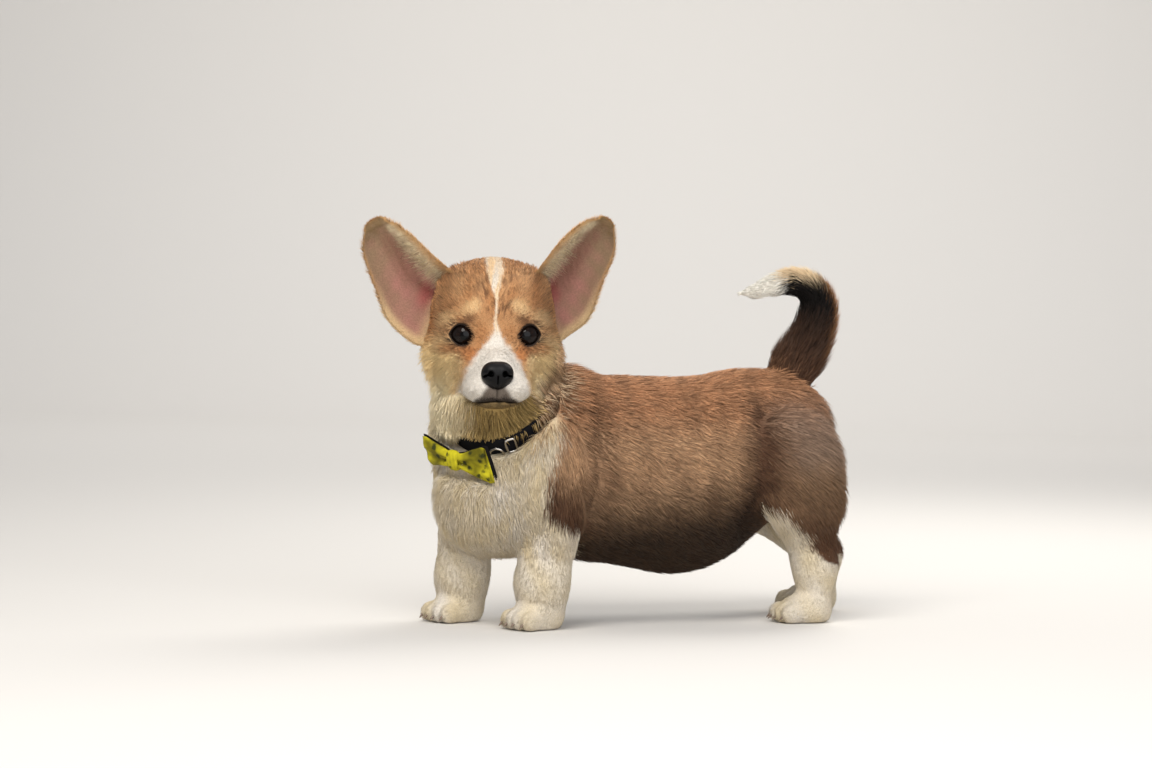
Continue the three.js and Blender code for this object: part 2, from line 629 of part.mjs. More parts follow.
function ear(side) {
  const mirror = ([x, y, z]) => new THREE.Vector3(x, signOf(side) * y, z);
  const inner = new THREE.CatmullRomCurve3(EAR[side].inner.map(mirror));
  const outer = new THREE.CatmullRomCurve3(EAR[side].outer.map(mirror));
  const measure = (list) => new THREE.SplineCurve(list.map((value, i) => new THREE.Vector2(i, value)));
  const cup = measure(EAR.cup);
  const thick = measure(EAR.thick);
  const rows = 12;
  const columns = 7;
  const rings = [];
  for (let i = 0; i <= rows; i++) {
    const t = i / rows;
    const [from, to] = [inner.getPoint(t), outer.getPoint(t)];
    const middle = from.clone().lerp(to, 0.5).add(new THREE.Vector3(-2 * cup.getPoint(t).y, 0, 0));
    const arc = new THREE.QuadraticBezierCurve3(from, middle, to);
    const up = inner.getTangent(t).add(outer.getTangent(t)).normalize();
    const face = (s, share) => {
      const away = arc.getTangent(s).cross(up).normalize().multiplyScalar(signOf(side));
      return arc.getPoint(s).addScaledVector(away, share * thick.getPoint(t).y);
    };
    const ring = [];
    for (let j = 0; j <= columns; j++) ring.push(face(j / columns, 0));
    for (let j = columns; j >= 0; j--) ring.push(face(j / columns, j % columns ? -1 : -0.5));
    rings.push(side === "left" ? ring : ring.reverse());
  }
  return solid(new LoftGeometry(rings, { capStart: true, capEnd: true }), HEAD_FRAME);
}

// What it wears

// The slot the collar lies in; where the coat is deeper than the slot, it closes over the collar
const collarHoop = (from, to, half) =>
  hoop(rectangle(from, to, half), [COLLAR.radius, COLLAR.radius], COLLAR.steps, COLLAR_FRAME);
const collarSlot = () => collarHoop(-GAP, COLLAR.thick + COLLAR.room, COLLAR.wide / 2 + GAP);
const collar = () => collarHoop(0, COLLAR.thick, COLLAR.wide / 2);
const onCollar = (angle, out, up) =>
  COLLAR_FRAME.clone()
    .multiply(turned([0, 0, 0], angle))
    .multiply(turned([COLLAR.radius + COLLAR.thick + out, 0, up]));

// One wing of the bow: flat sections that widen from the knot to the end, with a fold along the middle
function bowWing(sign) {
  const { wing, lean, sweep, pinch, thick, knot } = BOW;
  const high = sign > 0 ? BOW.high.front : BOW.high.back;
  const stations = [
    [0.12, pinch, 0.8],
    [0.3, pinch * 1.25, 1],
    [0.6, high * 0.78, 0.9],
    [0.9, high, 0.62],
    [1, high * 0.97, 0.45],
  ];
  const rings = stations.map(([t, half, puff]) => {
    const deep = (thick * puff) / 2;
    const front = [[0, -half], [deep, -half * 0.6], [deep * 0.35, 0], [deep, half * 0.6], [0, half]];
    const ring = [...front, [-deep, half * 0.5], [-deep, -half * 0.5]];
    return ring.map(([x, z]) => new THREE.Vector3(x - sweep * wing * t, sign * wing * t + lean * z * t, z));
  });
  if (sign > 0) rings.forEach((ring) => ring.reverse());
  const cut = box([knot[0] * 3, 2 * (knot[1] + GAP), knot[2] * 4]);
  const made = solid(new LoftGeometry(rings, { capStart: true, capEnd: true })).subtract(cut);
  return made.transform(BOW_FRAME.elements);
}
const bowKnot = () => {
  const [deep, wide, high] = BOW.knot;
  const outline = circle(1, 14).map(([a, b]) => [
    (Math.sign(a) * Math.abs(a) ** 0.6 * deep) / 2,
    Math.sign(b) * Math.abs(b) ** 0.6 * high,
  ]);
  return slab(outline, -wide, wide, BOW_FRAME);
};
// The coat is pressed flat behind the bow: a block from its back outwards
const bowRoom = () => {
  const { wing, high, sweep } = BOW;
  const back = sweep * wing + 2.4;
  return box([30, 2 * wing + 12, 2 * high.front + 6], turned([15 - back, 0, 0]).premultiply(BOW_FRAME));
};
const TAG_FRAME = onCollar(TAG.angle, TAG.wire + GAP + 0.2, -TAG.radius).multiply(turned([0, 0, 0], 0, 90));
const tagRing = () => hoop(circle(TAG.wire, 5), [TAG.radius, TAG.radius], 14, TAG_FRAME);
const tagRoom = () => ball([TAG.radius + 2.4, TAG.radius + 2.4, 4.5], TAG_FRAME, [12, 8]);
const buckle = () => box(TAG.buckle, onCollar(TAG.buckle_angle, TAG.buckle[0] / 2 + GAP + 0.3, 0));

// Materials

const coat = (color) => new THREE.MeshStandardMaterial({ color, roughness: 0.85, metalness: 0 });
const MATERIALS = {
  tan: coat(FUR.tan),
  sable: coat(FUR.sable),
  white: coat(FUR.white),
  dark: coat(FUR.dark),
  pink: coat(FUR.pink),
  eye: new THREE.MeshStandardMaterial({ color: 0x1c120c, roughness: 0.08, metalness: 0 }),
  nose: new THREE.MeshStandardMaterial({ color: 0x15161a, roughness: 0.4, metalness: 0 }),
  collar: new THREE.MeshStandardMaterial({ color: 0x17171c, roughness: 0.7, metalness: 0 }),
  bow: new THREE.MeshStandardMaterial({ color: 0xc9c22c, roughness: 0.75, metalness: 0 }),
  metal: new THREE.MeshStandardMaterial({ color: 0xc8c4bc, roughness: 0.3, metalness: 0.9 }),
};

const dog = new THREE.Group();
function add(name, made, material) {
  const mesh = largest(made.simplify(SMOOTHED)).getMesh();
  const geometry = new THREE.BufferGeometry();
  geometry.setAttribute("position", new THREE.BufferAttribute(new Float32Array(mesh.vertProperties), 3));
  geometry.setIndex(new THREE.BufferAttribute(new Uint32Array(mesh.triVerts), 1));
  geometry.computeVertexNormals();
  const part = new THREE.Mesh(geometry, material);
  part.name = name;
  dog.add(part);
}

// A block that fills everything beyond a flat face: past the origin of a frame along its X, Y or Z
const beyond = (frame, axis, gap = 0) => {
  const middle = [0, 0, 0];
  middle[axis] = FAR / 2 + gap;
  return box([FAR, FAR, FAR], turned(middle).premultiply(frame));
};
const above = (height, gap = 0) => beyond(turned([0, 0, height]), 2, gap);
const belowBlock = (height, gap = 0) => box([2 * FAR, FAR, FAR], turned([0, 0, height - FAR / 2 - gap]));

// The whole, and the cuts

const ground = belowBlock(0);
const slot = collarSlot();
const overCollar = beyond(COLLAR_FRAME, 2);
const overCollarWide = beyond(COLLAR_FRAME, 2, -GAP);

const plugs = {};
for (const side of sides) {
  const [from, to] = side === "left" ? [PLUG_START, FAR] : [-FAR, -PLUG_START];
  const [wideFrom, wideTo] = side === "left" ? [from - GAP, to] : [from, to + GAP];
  const shift = (outline) => outline.map(([x, z]) => [x + FORELEG[side].forward, z]);
  plugs[`fore_${side}`] = slab(shift(SHOULDER_PLUG), from, to, CHEST_FRAME);
  plugs[`fore_${side}_wide`] = slab(widened(shift(SHOULDER_PLUG), GAP), wideFrom, wideTo, CHEST_FRAME);
  plugs[`hind_${side}`] = slab(HIP_PLUG, from, to);
  plugs[`hind_${side}_wide`] = slab(widened(HIP_PLUG, GAP), wideFrom, wideTo);
}

const headWhole = headForm();
const headWide = headForm(GAP);
const trunkAndNeck = join([torsoSkin(), neckSkin(), ...ruffLocks(), ...bodyLocks()]);
const legs = sides.flatMap((side) => [foreleg(side), hindleg(side)]);
const rooms = join([ground, slot, bowRoom(), tagRoom()]);
const whole = join([trunkAndNeck, ...legs]).subtract(rooms);

// Head
let head = headWhole.subtract(noseForm(GAP).transform(HEAD_FRAME.elements));
for (const side of sides) head = head.subtract(eyeOpening(side)).add(lids(side)).subtract(eyeball(side, GAP));
head = head.intersect(overCollar).subtract(slot);
add("head", head.subtract(jawBlock(MOUTH_GAP)), MATERIALS.tan);
add("jaw", head.intersect(jawBlock(0)), MATERIALS.white);
add("nose", nose(), MATERIALS.nose);
for (const side of sides) {
  add(`eye_${side}`, eyeball(side), MATERIALS.eye);
  add(`ear_${side}`, ear(side).subtract(headWide), MATERIALS.pink);
}

// Neck and trunk
add("neck", whole.intersect(overCollarWide.subtract(headWide)).intersect(overCollar), MATERIALS.white);
let trunk = whole.subtract(overCollarWide);
for (const side of sides) trunk = trunk.subtract(plugs[`fore_${side}_wide`]).subtract(plugs[`hind_${side}_wide`]);
const tail = tailSolid();
const trunkWide = torsoSkin(GAP);
const [rumpCut, chestCut] = TRUNK_CUTS;
const past = (x, gap = 0) => beyond(turned([x, 0, 0]), 0, gap);
add("rump", trunk.subtract(past(rumpCut)), MATERIALS.sable);
add("barrel", trunk.intersect(past(rumpCut, GAP)).subtract(past(chestCut)), MATERIALS.sable);
add("chest", trunk.intersect(past(chestCut, GAP)), MATERIALS.white);

// Legs
for (const side of sides) {
  const fore = largest(whole.intersect(plugs[`fore_${side}`]).subtract(overCollarWide));
  add(`foreleg_${side}`, fore.intersect(above(PAW_CUT, GAP)), MATERIALS.white);
  add(`forepaw_${side}`, fore.subtract(above(PAW_CUT)), MATERIALS.white);
  const hind = largest(whole.intersect(plugs[`hind_${side}`]));
  add(`thigh_${side}`, hind.intersect(above(SHANK_CUT, GAP)), MATERIALS.sable);
  add(`shank_${side}`, hind.subtract(above(SHANK_CUT)).intersect(above(PAW_CUT, GAP)), MATERIALS.white);
  add(`hindpaw_${side}`, hind.subtract(above(PAW_CUT)), MATERIALS.white);
}

// Tail
const tailCuts = TAIL.cuts.map((t) => {
  const spot = tailCurve.getPoint(t);
  const way = tailCurve.getTangent(t);
  return turned(spot.toArray(), 0, THREE.MathUtils.radToDeg(Math.atan2(-way.z, way.x)));
});
const shortBox = (frame, gap = 0) => box([60, 60, 60], turned([30 + gap, 0, 0]).premultiply(frame));
const freeTail = tail.subtract(trunkWide);
const upper = shortBox(tailCuts[0]).add(shortBox(tailCuts[1]));
add("tail_root", freeTail.subtract(upper), MATERIALS.dark);
add("tail_middle", freeTail.intersect(shortBox(tailCuts[0], GAP)).subtract(shortBox(tailCuts[1])), MATERIALS.dark);
add("tail_tip", freeTail.intersect(shortBox(tailCuts[1], GAP)), MATERIALS.white);

// Collar and bow
add("collar", collar(), MATERIALS.collar);
add("bow_wing_front", bowWing(1), MATERIALS.bow);
add("bow_wing_back", bowWing(-1), MATERIALS.bow);
add("bow_knot", bowKnot(), MATERIALS.bow);
add("tag_ring", tagRing(), MATERIALS.metal);
add("buckle", buckle(), MATERIALS.metal);

// The origin goes to the middle of the whole's footprint, on the floor
const bounds = new THREE.Box3().setFromObject(dog);
const middle = bounds.getCenter(new THREE.Vector3());
for (const part of dog.children) part.geometry.translate(-middle.x, -middle.y, -bounds.min.z);

export default dog;
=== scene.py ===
"""A Pembroke Welsh corgi puppy, standing, with its collar and bow. Sizes are in millimetres."""

import math
from functools import partial

import bpy
import numpy as np
import openvdb
from mathutils import Matrix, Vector
from mathutils.kdtree import KDTree


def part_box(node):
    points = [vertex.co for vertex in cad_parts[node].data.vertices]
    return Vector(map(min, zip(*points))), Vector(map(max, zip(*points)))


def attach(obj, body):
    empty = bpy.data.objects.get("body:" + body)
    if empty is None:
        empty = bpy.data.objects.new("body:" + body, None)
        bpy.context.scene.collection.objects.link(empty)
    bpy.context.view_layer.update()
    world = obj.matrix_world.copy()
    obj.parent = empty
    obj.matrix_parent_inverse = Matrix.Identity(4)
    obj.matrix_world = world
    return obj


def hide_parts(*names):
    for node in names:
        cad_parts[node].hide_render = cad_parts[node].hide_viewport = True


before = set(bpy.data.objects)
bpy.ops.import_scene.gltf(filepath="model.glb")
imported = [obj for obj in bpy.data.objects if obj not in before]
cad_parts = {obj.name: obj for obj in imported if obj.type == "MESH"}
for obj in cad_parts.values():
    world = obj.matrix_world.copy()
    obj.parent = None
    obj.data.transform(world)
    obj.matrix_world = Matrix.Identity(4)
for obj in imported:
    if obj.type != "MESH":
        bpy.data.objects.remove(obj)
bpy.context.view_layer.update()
RNG = np.random.default_rng(7)
MM = 0.001


# Frames and small helpers


def turned(at, turn=0.0, tip=0.0, tilt=0.0):
    """A frame at a place, turned about Z, then tipped about Y, then tilted about X, in degrees."""
    a, b, c = np.radians([turn, tip, tilt])
    about_z = np.array([[math.cos(a), -math.sin(a), 0], [math.sin(a), math.cos(a), 0], [0, 0, 1]])
    about_y = np.array([[math.cos(b), 0, math.sin(b)], [0, 1, 0], [-math.sin(b), 0, math.cos(b)]])
    about_x = np.array([[1, 0, 0], [0, math.cos(c), -math.sin(c)], [0, math.sin(c), math.cos(c)]])
    m = np.eye(4)
    m[:3, :3] = about_z @ about_y @ about_x
    m[:3, 3] = at
    return m


def into(m, p):
    """Points as seen in a frame."""
    return (np.asarray(p) - m[:3, 3]) @ m[:3, :3]


def out_of(m, p):
    return np.asarray(p) @ m[:3, :3].T + m[:3, 3]


def unit(v):
    return v / np.maximum(np.linalg.norm(v, axis=-1, keepdims=True), 1e-9)


def smooth(low, high, x):
    """Zero below low and one above high, or the other way round where low is the larger."""
    t = np.clip((x - low) / (high - low), 0, 1)
    return t * t * (3 - 2 * t)


def powered(x, power):
    """A power that keeps the sign, to make round outlines squarer."""
    return np.sign(x) * np.abs(x) ** power


def turns(count):
    """Even angles once round, in radians."""
    return np.linspace(0, 2 * math.pi, count, endpoint=False)


# The places and driving sizes, as the solids have them

CHEST_FRAME = turned([140, 20, 0], 20)
HEAD_FRAME = turned([167, 50, 229.5], 75, 0, 0.8)
COLLAR = {"at": [152, 20.6, 170], "lean": 43, "way": 47, "radius": 40, "wide": 14.5, "thick": 2.6}
COLLAR_FRAME = turned(COLLAR["at"], COLLAR["way"], COLLAR["lean"])
BOW = {"at": [194.8, 37.6, 131.3], "wing": 33.5, "lean": -0.2, "sweep": 0.15, "pinch": 6, "thick": 6}
BOW_HIGH = {1: 15, -1: 12}
BOW_FRAME = turned(BOW["at"], 26, 22, -8.5)

# The body's lumps: the middle of each, its half sizes, and how it is turned
TORSO = [
    ([-95, 0, 142], [46, 50, 57]),
    ([-50, 0, 133], [60, 55, 62]),
    ([-2, 0, 110], [84, 63, 72]),
    ([58, 4, 121], [84, 60, 73], [6, 0, 0]),
    ([-4, 0, 161], [130, 38, 34.5]),
    ([-70, 0, 160.5], [50, 35, 40]),
    ([104, 12, 160], [50, 42, 46], [14, 0, 0]),
]
CHEST = [
    ([-10, 0, 108], [46, 59, 50]),
    ([24, -6, 104], [34, 44, 42]),
    ([-12, 0, 136], [44, 44, 48], [27, 43, 0]),
    ([12, 0, 90], [42, 42, 32]),
]
NECK = [
    ([156, 6, 150], [48, 38, 44], [-22, 0, 0]),
    ([158, 16, 178], [47, 42, 36], [-22, 0, 0]),
    ([146, 8, 200], [42, 40, 42]),
]
SKULL = [
    ([-32, 0, 16], [45, 50, 45]),
    ([-26, 0, 36], [26, 40, 21]),
    ([-14, 0, 24], [24, 32, 26]),
    ([-28, 0, -12], [36, 55, 36]),
    ([-22, 0, -32], [30, 45, 30]),
]
MUZZLE = [
    ([-2, 0, -6], [16, 17, 16]),
    ([0, 17, -24], [22, 15, 17]),
    ([0, -17, -24], [22, 15, 17]),
    ([14, 0, -19], [30, 14, 11], [0, 20, 0]),
    ([14, 0, -33], [30, 22, 18], [0, 8, 0]),
    ([20, 14, -40.5], [22, 14, 11.5]),
    ([20, -14, -40.5], [22, 14, 11.5]),
    ([15, 0, -47.5], [26, 16, 9], [0, -4, 0]),
]
NOSE = [
    ([40, -1, -28.8], [10, 10.4, 9.2]),
    ([41, 4.2, -28.4], [9, 6.8, 7.8]),
    ([41, -6.2, -28.4], [9, 6.8, 7.8]),
    ([39, -1, -34.4], [8, 5, 5.6]),
]
EYE = {"across": 23.8, "radius": 10.4, "back": 6.5, "out": 14}
SNOUT = -1.0  # where the middle of the snout is, across the head
SIDES = {"left": 1, "right": -1}
# A foreleg's place on the chest, ahead and across; a hind leg's place across, and how far back it steps
FORE = {"left": (-3, 38), "right": (17, -38)}
HIND = {"left": (45, 0), "right": (-45, -46)}
STIFLE, HOCK = 128, 47
TAIL_LINE = [
    [-88, 162], [-108, 200], [-126, 232], [-131, 256], [-124, 269.5], [-109, 275.5], [-92, 273], [-76, 268],
    [-62, 265.5],
]
TAIL_THICK = [23, 20, 16.5, 14.5, 13, 11.5, 9.8, 7.6, 3.4]
EAR_INNER = {
    "left": [
        [-14, 29, 43.5], [-16, 38.5, 55.5], [-18, 47, 67], [-22, 59, 79.5], [-27, 73.5, 90],
        [-30, 83.5, 92.5],
    ],
    "right": [
        [-14, 29, 45.5], [-16, 40, 54.5], [-18, 50.5, 63.5], [-22, 63, 75.5], [-27, 76, 85.8],
        [-30, 84.5, 89.8],
    ],
}
EAR_OUTER = {
    "left": [
        [-22, 40, -14], [-24, 58, -1], [-26, 74, 12], [-28, 86, 42], [-31, 96, 67],
        [-30, 95.5, 84],
    ],
    "right": [
        [-22, 42, -14], [-24, 64, -5.5], [-27, 82, 11], [-29, 92.5, 37.4], [-31, 102, 65],
        [-30, 101.3, 80],
    ],
}
EAR_CUP = [20, 20, 17, 13, 7, 1]
EAR_THICK = [5, 4.4, 3.8, 3.4, 3, 2.4]
EAR_FOLDS = [(0.27, 1.8), (0.4, -1.4), (0.53, 1.2)]  # where they run across the inside, and how high

# The coat's depth on each part: how far the skin lies inside the solids
DEPTH = {"trunk": 1.1, "neck": 3.2, "leg": 2.2, "paw": 1.2, "tail": 2.8, "skull": 2.2, "muzzle": 1.0}


def eye_frame(sign):
    return HEAD_FRAME @ turned([-EYE["back"], sign * EYE["across"], 0], sign * EYE["out"])


# The row's frame has its origin under the middle of the solids: an eye tells how far that is
eye_low, eye_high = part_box("eye_left")
OFFSET = (np.array(eye_low) + np.array(eye_high)) / 2 - eye_frame(1)[:3, 3] * MM
OFFSET[2] = 0


def metres(p):
    return np.asarray(p) * MM + OFFSET


# Fields: functions of points that are below zero inside


def lump(at, half, turn=(0, 0, 0), base=np.eye(4)):
    """An ellipsoid from its middle, its half sizes and how it is turned."""
    m = base @ turned(at, *turn)
    half = np.array(half, np.float32)
    rot, spot = m[:3, :3].astype(np.float32), m[:3, 3].astype(np.float32)

    def field(p):
        q = (p - spot) @ rot / half
        near = np.sqrt((q * q).sum(-1))
        q /= half
        return near * (near - 1) / np.maximum(np.sqrt((q * q).sum(-1)), 1e-6)

    return field


def limb(start, thick, end, thin):
    a = np.array(start, np.float32)
    run = np.array(end, np.float32) - a

    def field(p):
        t = np.clip((p - a) @ run / (run @ run), 0, 1)
        return np.linalg.norm(p - a - t[..., None] * run, axis=-1) - (thick + (thin - thick) * t)

    return field


def soft_min(a, b, k):
    h = np.maximum(k - np.abs(a - b), 0) / k
    return np.minimum(a, b) - h * h * k / 4


def soft_max(a, b, k):
    return -soft_min(-a, -b, k)


def blend(k, fields):
    def field(p):
        d = fields[0](p)
        for other in fields[1:]:
            d = soft_min(d, other(p), k)
        return d

    return field


def lumps(forms, base=np.eye(4)):
    return [lump(*form, base=base) for form in forms]


trunk_field = blend(16, lumps(TORSO) + lumps(CHEST, CHEST_FRAME))
neck_field = blend(14, lumps(NECK))
skull_field = blend(12, lumps(SKULL))
muzzle_field = blend(8, lumps(MUZZLE))


def foreleg_field(side):
    forward, across = FORE[side]
    elbow, wrist, ankle = (
        out_of(CHEST_FRAME, [forward + ahead, across, rise]) for ahead, rise in ((-6, 88), (2, 36), (2, 20))
    )
    shoulder = lump([forward - 6, across, 122], [34, 22, 46], base=CHEST_FRAME)
    return blend(12, [shoulder, limb(elbow, 26.5, wrist, 21.5), limb(wrist, 21.5, ankle, 20.5)])


def stride_at(side, z):
    """How far a hind leg has stepped back at a height."""
    return HIND[side][1] * np.clip((STIFLE - z) / (STIFLE - HOCK), 0, 1) ** 2


def hind_spot(side, x, z):
    return np.array([x + stride_at(side, z), HIND[side][0], z])


def hindleg_field(side):
    knee, hock, ankle = (hind_spot(side, x, z) for x, z in ((-103, 86), (-113, HOCK), (-113, 20)))
    thigh = [
        lump(hind_spot(side, -92, STIFLE), [43, 23, 46], (0, 10, 0)),
        lump(hind_spot(side, -102, 100), [35, 22, 32], (0, 10, 0)),
    ]
    return blend(12, thigh + [limb(knee, 25, hock, 18.5), limb(hock, 18.5, ankle, 16)])


TOES = [((2 * i + 1) / 4 - 1) * 16.8 for i in range(4)]  # across a paw


def toe_ahead(across):
    return 20.5 - 0.016 * across * across


def paw_field(base):
    toes = [lump([toe_ahead(y) + 0.5, y, 7.6], [10.8, 6.4, 9.4], base=base) for y in TOES]
    return blend(3, [lump([2, 0, 8.8], [23.5, 18.6, 16], base=base)] + toes)


PAWS = {}
for side in SIDES:
    spot = out_of(CHEST_FRAME, [FORE[side][0] + 4, FORE[side][1], 0])
    PAWS[f"fore_{side}"] = turned(spot, 20)
    spot = hind_spot(side, -113, 20)
    PAWS[f"hind_{side}"] = turned([spot[0] + 6, spot[1], 0])


def catmull(points, count):
    """A centripetal curve through points, at this many even shares of its spans."""
    p = np.array(points, float)
    if p.ndim == 1:
        p = p[:, None]
    p = np.vstack([2 * p[0] - p[1], p, 2 * p[-1] - p[-2]])
    made = []
    for s in np.linspace(0, len(p) - 3, count):
        i = min(int(s), len(p) - 4)
        t = s - i
        a, b, c, d = p[i : i + 4]
        gaps = [max(np.linalg.norm(y - x) ** 0.5, 1e-4) for x, y in ((a, b), (b, c), (c, d))]
        start = ((b - a) / gaps[0] - (c - a) / (gaps[0] + gaps[1]) + (c - b) / gaps[1]) * gaps[1]
        end = ((c - b) / gaps[1] - (d - b) / (gaps[1] + gaps[2]) + (d - c) / gaps[2]) * gaps[1]
        shares = 2 * t**3 - 3 * t**2 + 1, t**3 - 2 * t**2 + t, 3 * t**2 - 2 * t**3, t**3 - t**2
        made.append(sum(share * of for share, of in zip(shares, (b, start, c, end))))
    return np.array(made)


TAIL_STEPS = 40
tail_points = catmull([[x, 0, z] for x, z in TAIL_LINE], TAIL_STEPS + 1)
tail_radii = np.interp(
    np.linspace(0, 1, TAIL_STEPS + 1), np.linspace(0, 1, len(TAIL_THICK)), TAIL_THICK
)
tail_joints = list(zip(tail_points, tail_radii))
TAIL_BONES = [limb(*start, *end) for start, end in zip(tail_joints, tail_joints[1:])]


def tail_field(p):
    return np.min([bone(p) for bone in TAIL_BONES], axis=0)


# Grids, in which fields are joined and drawn as a skin


class Grid:
    """Values of a field on even steps inside a box."""

    def __init__(self, low, high, step):
        self.low, self.step = np.array(low, float), step
        size = np.ceil((np.array(high) - low) / step).astype(int) + 1
        self.value = np.full(size, 60, np.float32)

    def part(self, low, high):
        """The indices and the points of the part between two corners."""
        top = self.value.shape
        first = np.clip(np.floor((np.array(low) - self.low) / self.step), 0, top).astype(int)
        last = np.clip(np.ceil((np.array(high) - self.low) / self.step), 0, top).astype(int)
        axes = [self.low[k] + self.step * np.arange(first[k], last[k]) for k in range(3)]
        spots = np.stack(np.meshgrid(*axes, indexing="ij"), -1).astype(np.float32)
        return tuple(slice(a, b) for a, b in zip(first, last)), spots

    def add(self, field, depth, low, high, softness):
        """Joins a form to what is there, drawn in by a depth."""
        where, spots = self.part(low, high)
        d = field(spots.reshape(-1, 3)).reshape(spots.shape[:3]) + depth
        self.value[where] = soft_min(self.value[where], d, softness)

    def cut(self, room, low, high, softness):
        """Takes a form away; room is a function of points in a box shape."""
        where, spots = self.part(low, high)
        self.value[where] = soft_max(self.value[where], -room(spots), softness)

    def fill(self, field):
        """Takes the whole grid from one field."""
        _, spots = self.part(-np.inf, np.inf)
        self.value = field(spots.reshape(-1, 3)).reshape(spots.shape[:3]).astype(np.float32)

    def surface(self):
        """The points and quads of the skin where the field is zero, facing outwards."""
        wide = 3 * self.step
        grid = openvdb.FloatGrid(wide)
        grid.copyFromArray(np.clip(self.value, -wide, wide))
        grid.transform = openvdb.createLinearTransform(voxelSize=self.step)
        points, _, quads = grid.convertToPolygons(isovalue=0.0, adaptivity=0.0)
        points = points + self.low
        a, b, c = (points[quads[:, k]] for k in range(3))
        if (np.cross(b - a, c - a) * (a - points.mean(0))).sum() < 0:
            quads = quads[:, ::-1]
        return points, quads


# Meshes


def make_mesh(name, points, faces, material, colours=None, uv=None):
    """A smooth mesh; faces is a list of index arrays, each with faces of one size."""
    mesh = bpy.data.meshes.new(name)
    corners = np.concatenate([f.reshape(-1) for f in faces]).astype(np.int32)
    sizes = np.concatenate([np.full(len(f), f.shape[1]) for f in faces])
    starts = np.concatenate([[0], np.cumsum(sizes)[:-1]]).astype(np.int32)
    mesh.vertices.add(len(points))
    mesh.vertices.foreach_set("co", metres(points).astype(np.float32).reshape(-1))
    mesh.loops.add(len(corners))
    mesh.loops.foreach_set("vertex_index", corners)
    mesh.polygons.add(len(sizes))
    mesh.polygons.foreach_set("loop_start", starts)
    mesh.polygons.foreach_set("use_smooth", np.full(len(sizes), True))
    if colours is not None:
        layer = mesh.attributes.new("coat", "FLOAT_COLOR", "POINT")
        rgba = np.ones((len(points), 4), np.float32)
        rgba[:, :3] = colours
        layer.data.foreach_set("color", rgba.reshape(-1))
    if uv is not None:
        layer = mesh.uv_layers.new(name="OFBake")
        layer.data.foreach_set("uv", uv[corners].astype(np.float32).reshape(-1))
    mesh.update(calc_edges=True)
    made = bpy.data.objects.new(name, mesh)
    bpy.context.scene.collection.objects.link(made)
    mesh.materials.append(material)
    return made


def grid_faces(rows, columns, closed=False, looped=False):
    """Quads of rows of points; closed joins the last column to the first, and looped the last row."""
    i, j = np.meshgrid(np.arange(rows - (not looped)), np.arange(columns - (not closed)), indexing="ij")
    row, next_row = i * columns, (i + 1) % rows * columns
    k = (j + 1) % columns
    return np.stack([row + j, row + k, next_row + k, next_row + j], -1).reshape(-1, 4)


def normals_of(points, faces):
    normal = np.zeros_like(points)
    for f in faces:
        a, b, c = (points[f[:, k]] for k in range(3))
        face = np.cross(b - a, c - a)
        for k in range(f.shape[1]):
            np.add.at(normal, f[:, k], face)
    return unit(normal)


# Colours, named as they look in the photo


def paint(r, g, b):
    """A colour as it looks, turned into the values that light works on."""
    c = np.array([r, g, b]) / 255
    return np.where(c < 0.04045, c / 12.92, ((c + 0.055) / 1.055) ** 2.4)


TAN = paint(205, 158, 112)
DEEP_TAN = paint(186, 132, 86)
RUST = paint(186, 118, 68)
BROW = paint(240, 204, 152)
CHEEK = paint(250, 220, 164)
CREAM = paint(253, 238, 202)
WHITE = paint(232, 224, 212)
BRIGHT = paint(252, 247, 236)
IVORY = paint(224, 206, 168)
STREAK = paint(104, 70, 48)
SABLE = paint(206, 166, 128)
SABLE_RED = paint(200, 148, 108)
SABLE_GREY = paint(152, 130, 114)
SABLE_DARK = paint(134, 100, 74)
PATCH_AND_SHADE = paint(80, 51, 35)
BELLY_PAINTED_SHADE = paint(44, 31, 21)
THIGH = paint(134, 105, 79)
TAIL_DARK = paint(15, 11, 9)
TAIL_BROWN = paint(82, 58, 43)
TAIL_LIGHT = paint(250, 224, 184)
EAR_PINK = paint(172, 120, 108)
EAR_RED = paint(160, 82, 78)
EAR_HAIR = paint(144, 118, 92)
EAR_SHADE = paint(104, 76, 58)
EAR_HOLLOW_SHADE = paint(132, 92, 76)
EAR_TIP = paint(122, 98, 66)
EAR_CREAM = paint(230, 212, 174)
EAR_BASE = paint(222, 192, 144)
EAR_RIM = paint(214, 166, 110)
LIP = paint(38, 30, 27)
LIP_SHADE = paint(96, 82, 70)
SHADED_THROAT = paint(186, 156, 98)


def wave(p, size, seed):
    """Smooth random values between about -1 and 1 that change over this many mm."""
    rng = np.random.default_rng(seed)
    total = 0
    for _ in range(5):
        way = unit(rng.normal(size=3)) * (2 * math.pi / size) * rng.uniform(0.6, 1.5)
        total = total + np.sin(p @ way + rng.uniform(0, 6.3))
    return total / 3


def mix(a, b, share):
    share = np.clip(share, 0, 1)[..., None]
    return a * (1 - share) + b * share


def layered(colour, *coats):
    """A colour with others laid over it, each by its share."""
    for over, share in coats:
        colour = mix(colour, over, share)
    return colour


def eye_opening(e, sign):
    """How far a point is outside the opening between the lids, in the frame of its eye."""
    u = e[:, 1] * sign
    share = np.abs(u) / np.where(u > 0, 10.8, 9.6)
    top = 8.1 * (1 - share**2.3) + 0.06 * u
    bottom = -7.5 * (1 - share**2.3) + 0.06 * u
    return np.maximum(e[:, 2] - top, bottom - e[:, 2])


def in_eye(p, sign):
    """Points of the head's frame as seen from an eye."""
    return into(turned([-EYE["back"], sign * EYE["across"], 0], sign * EYE["out"]), p)


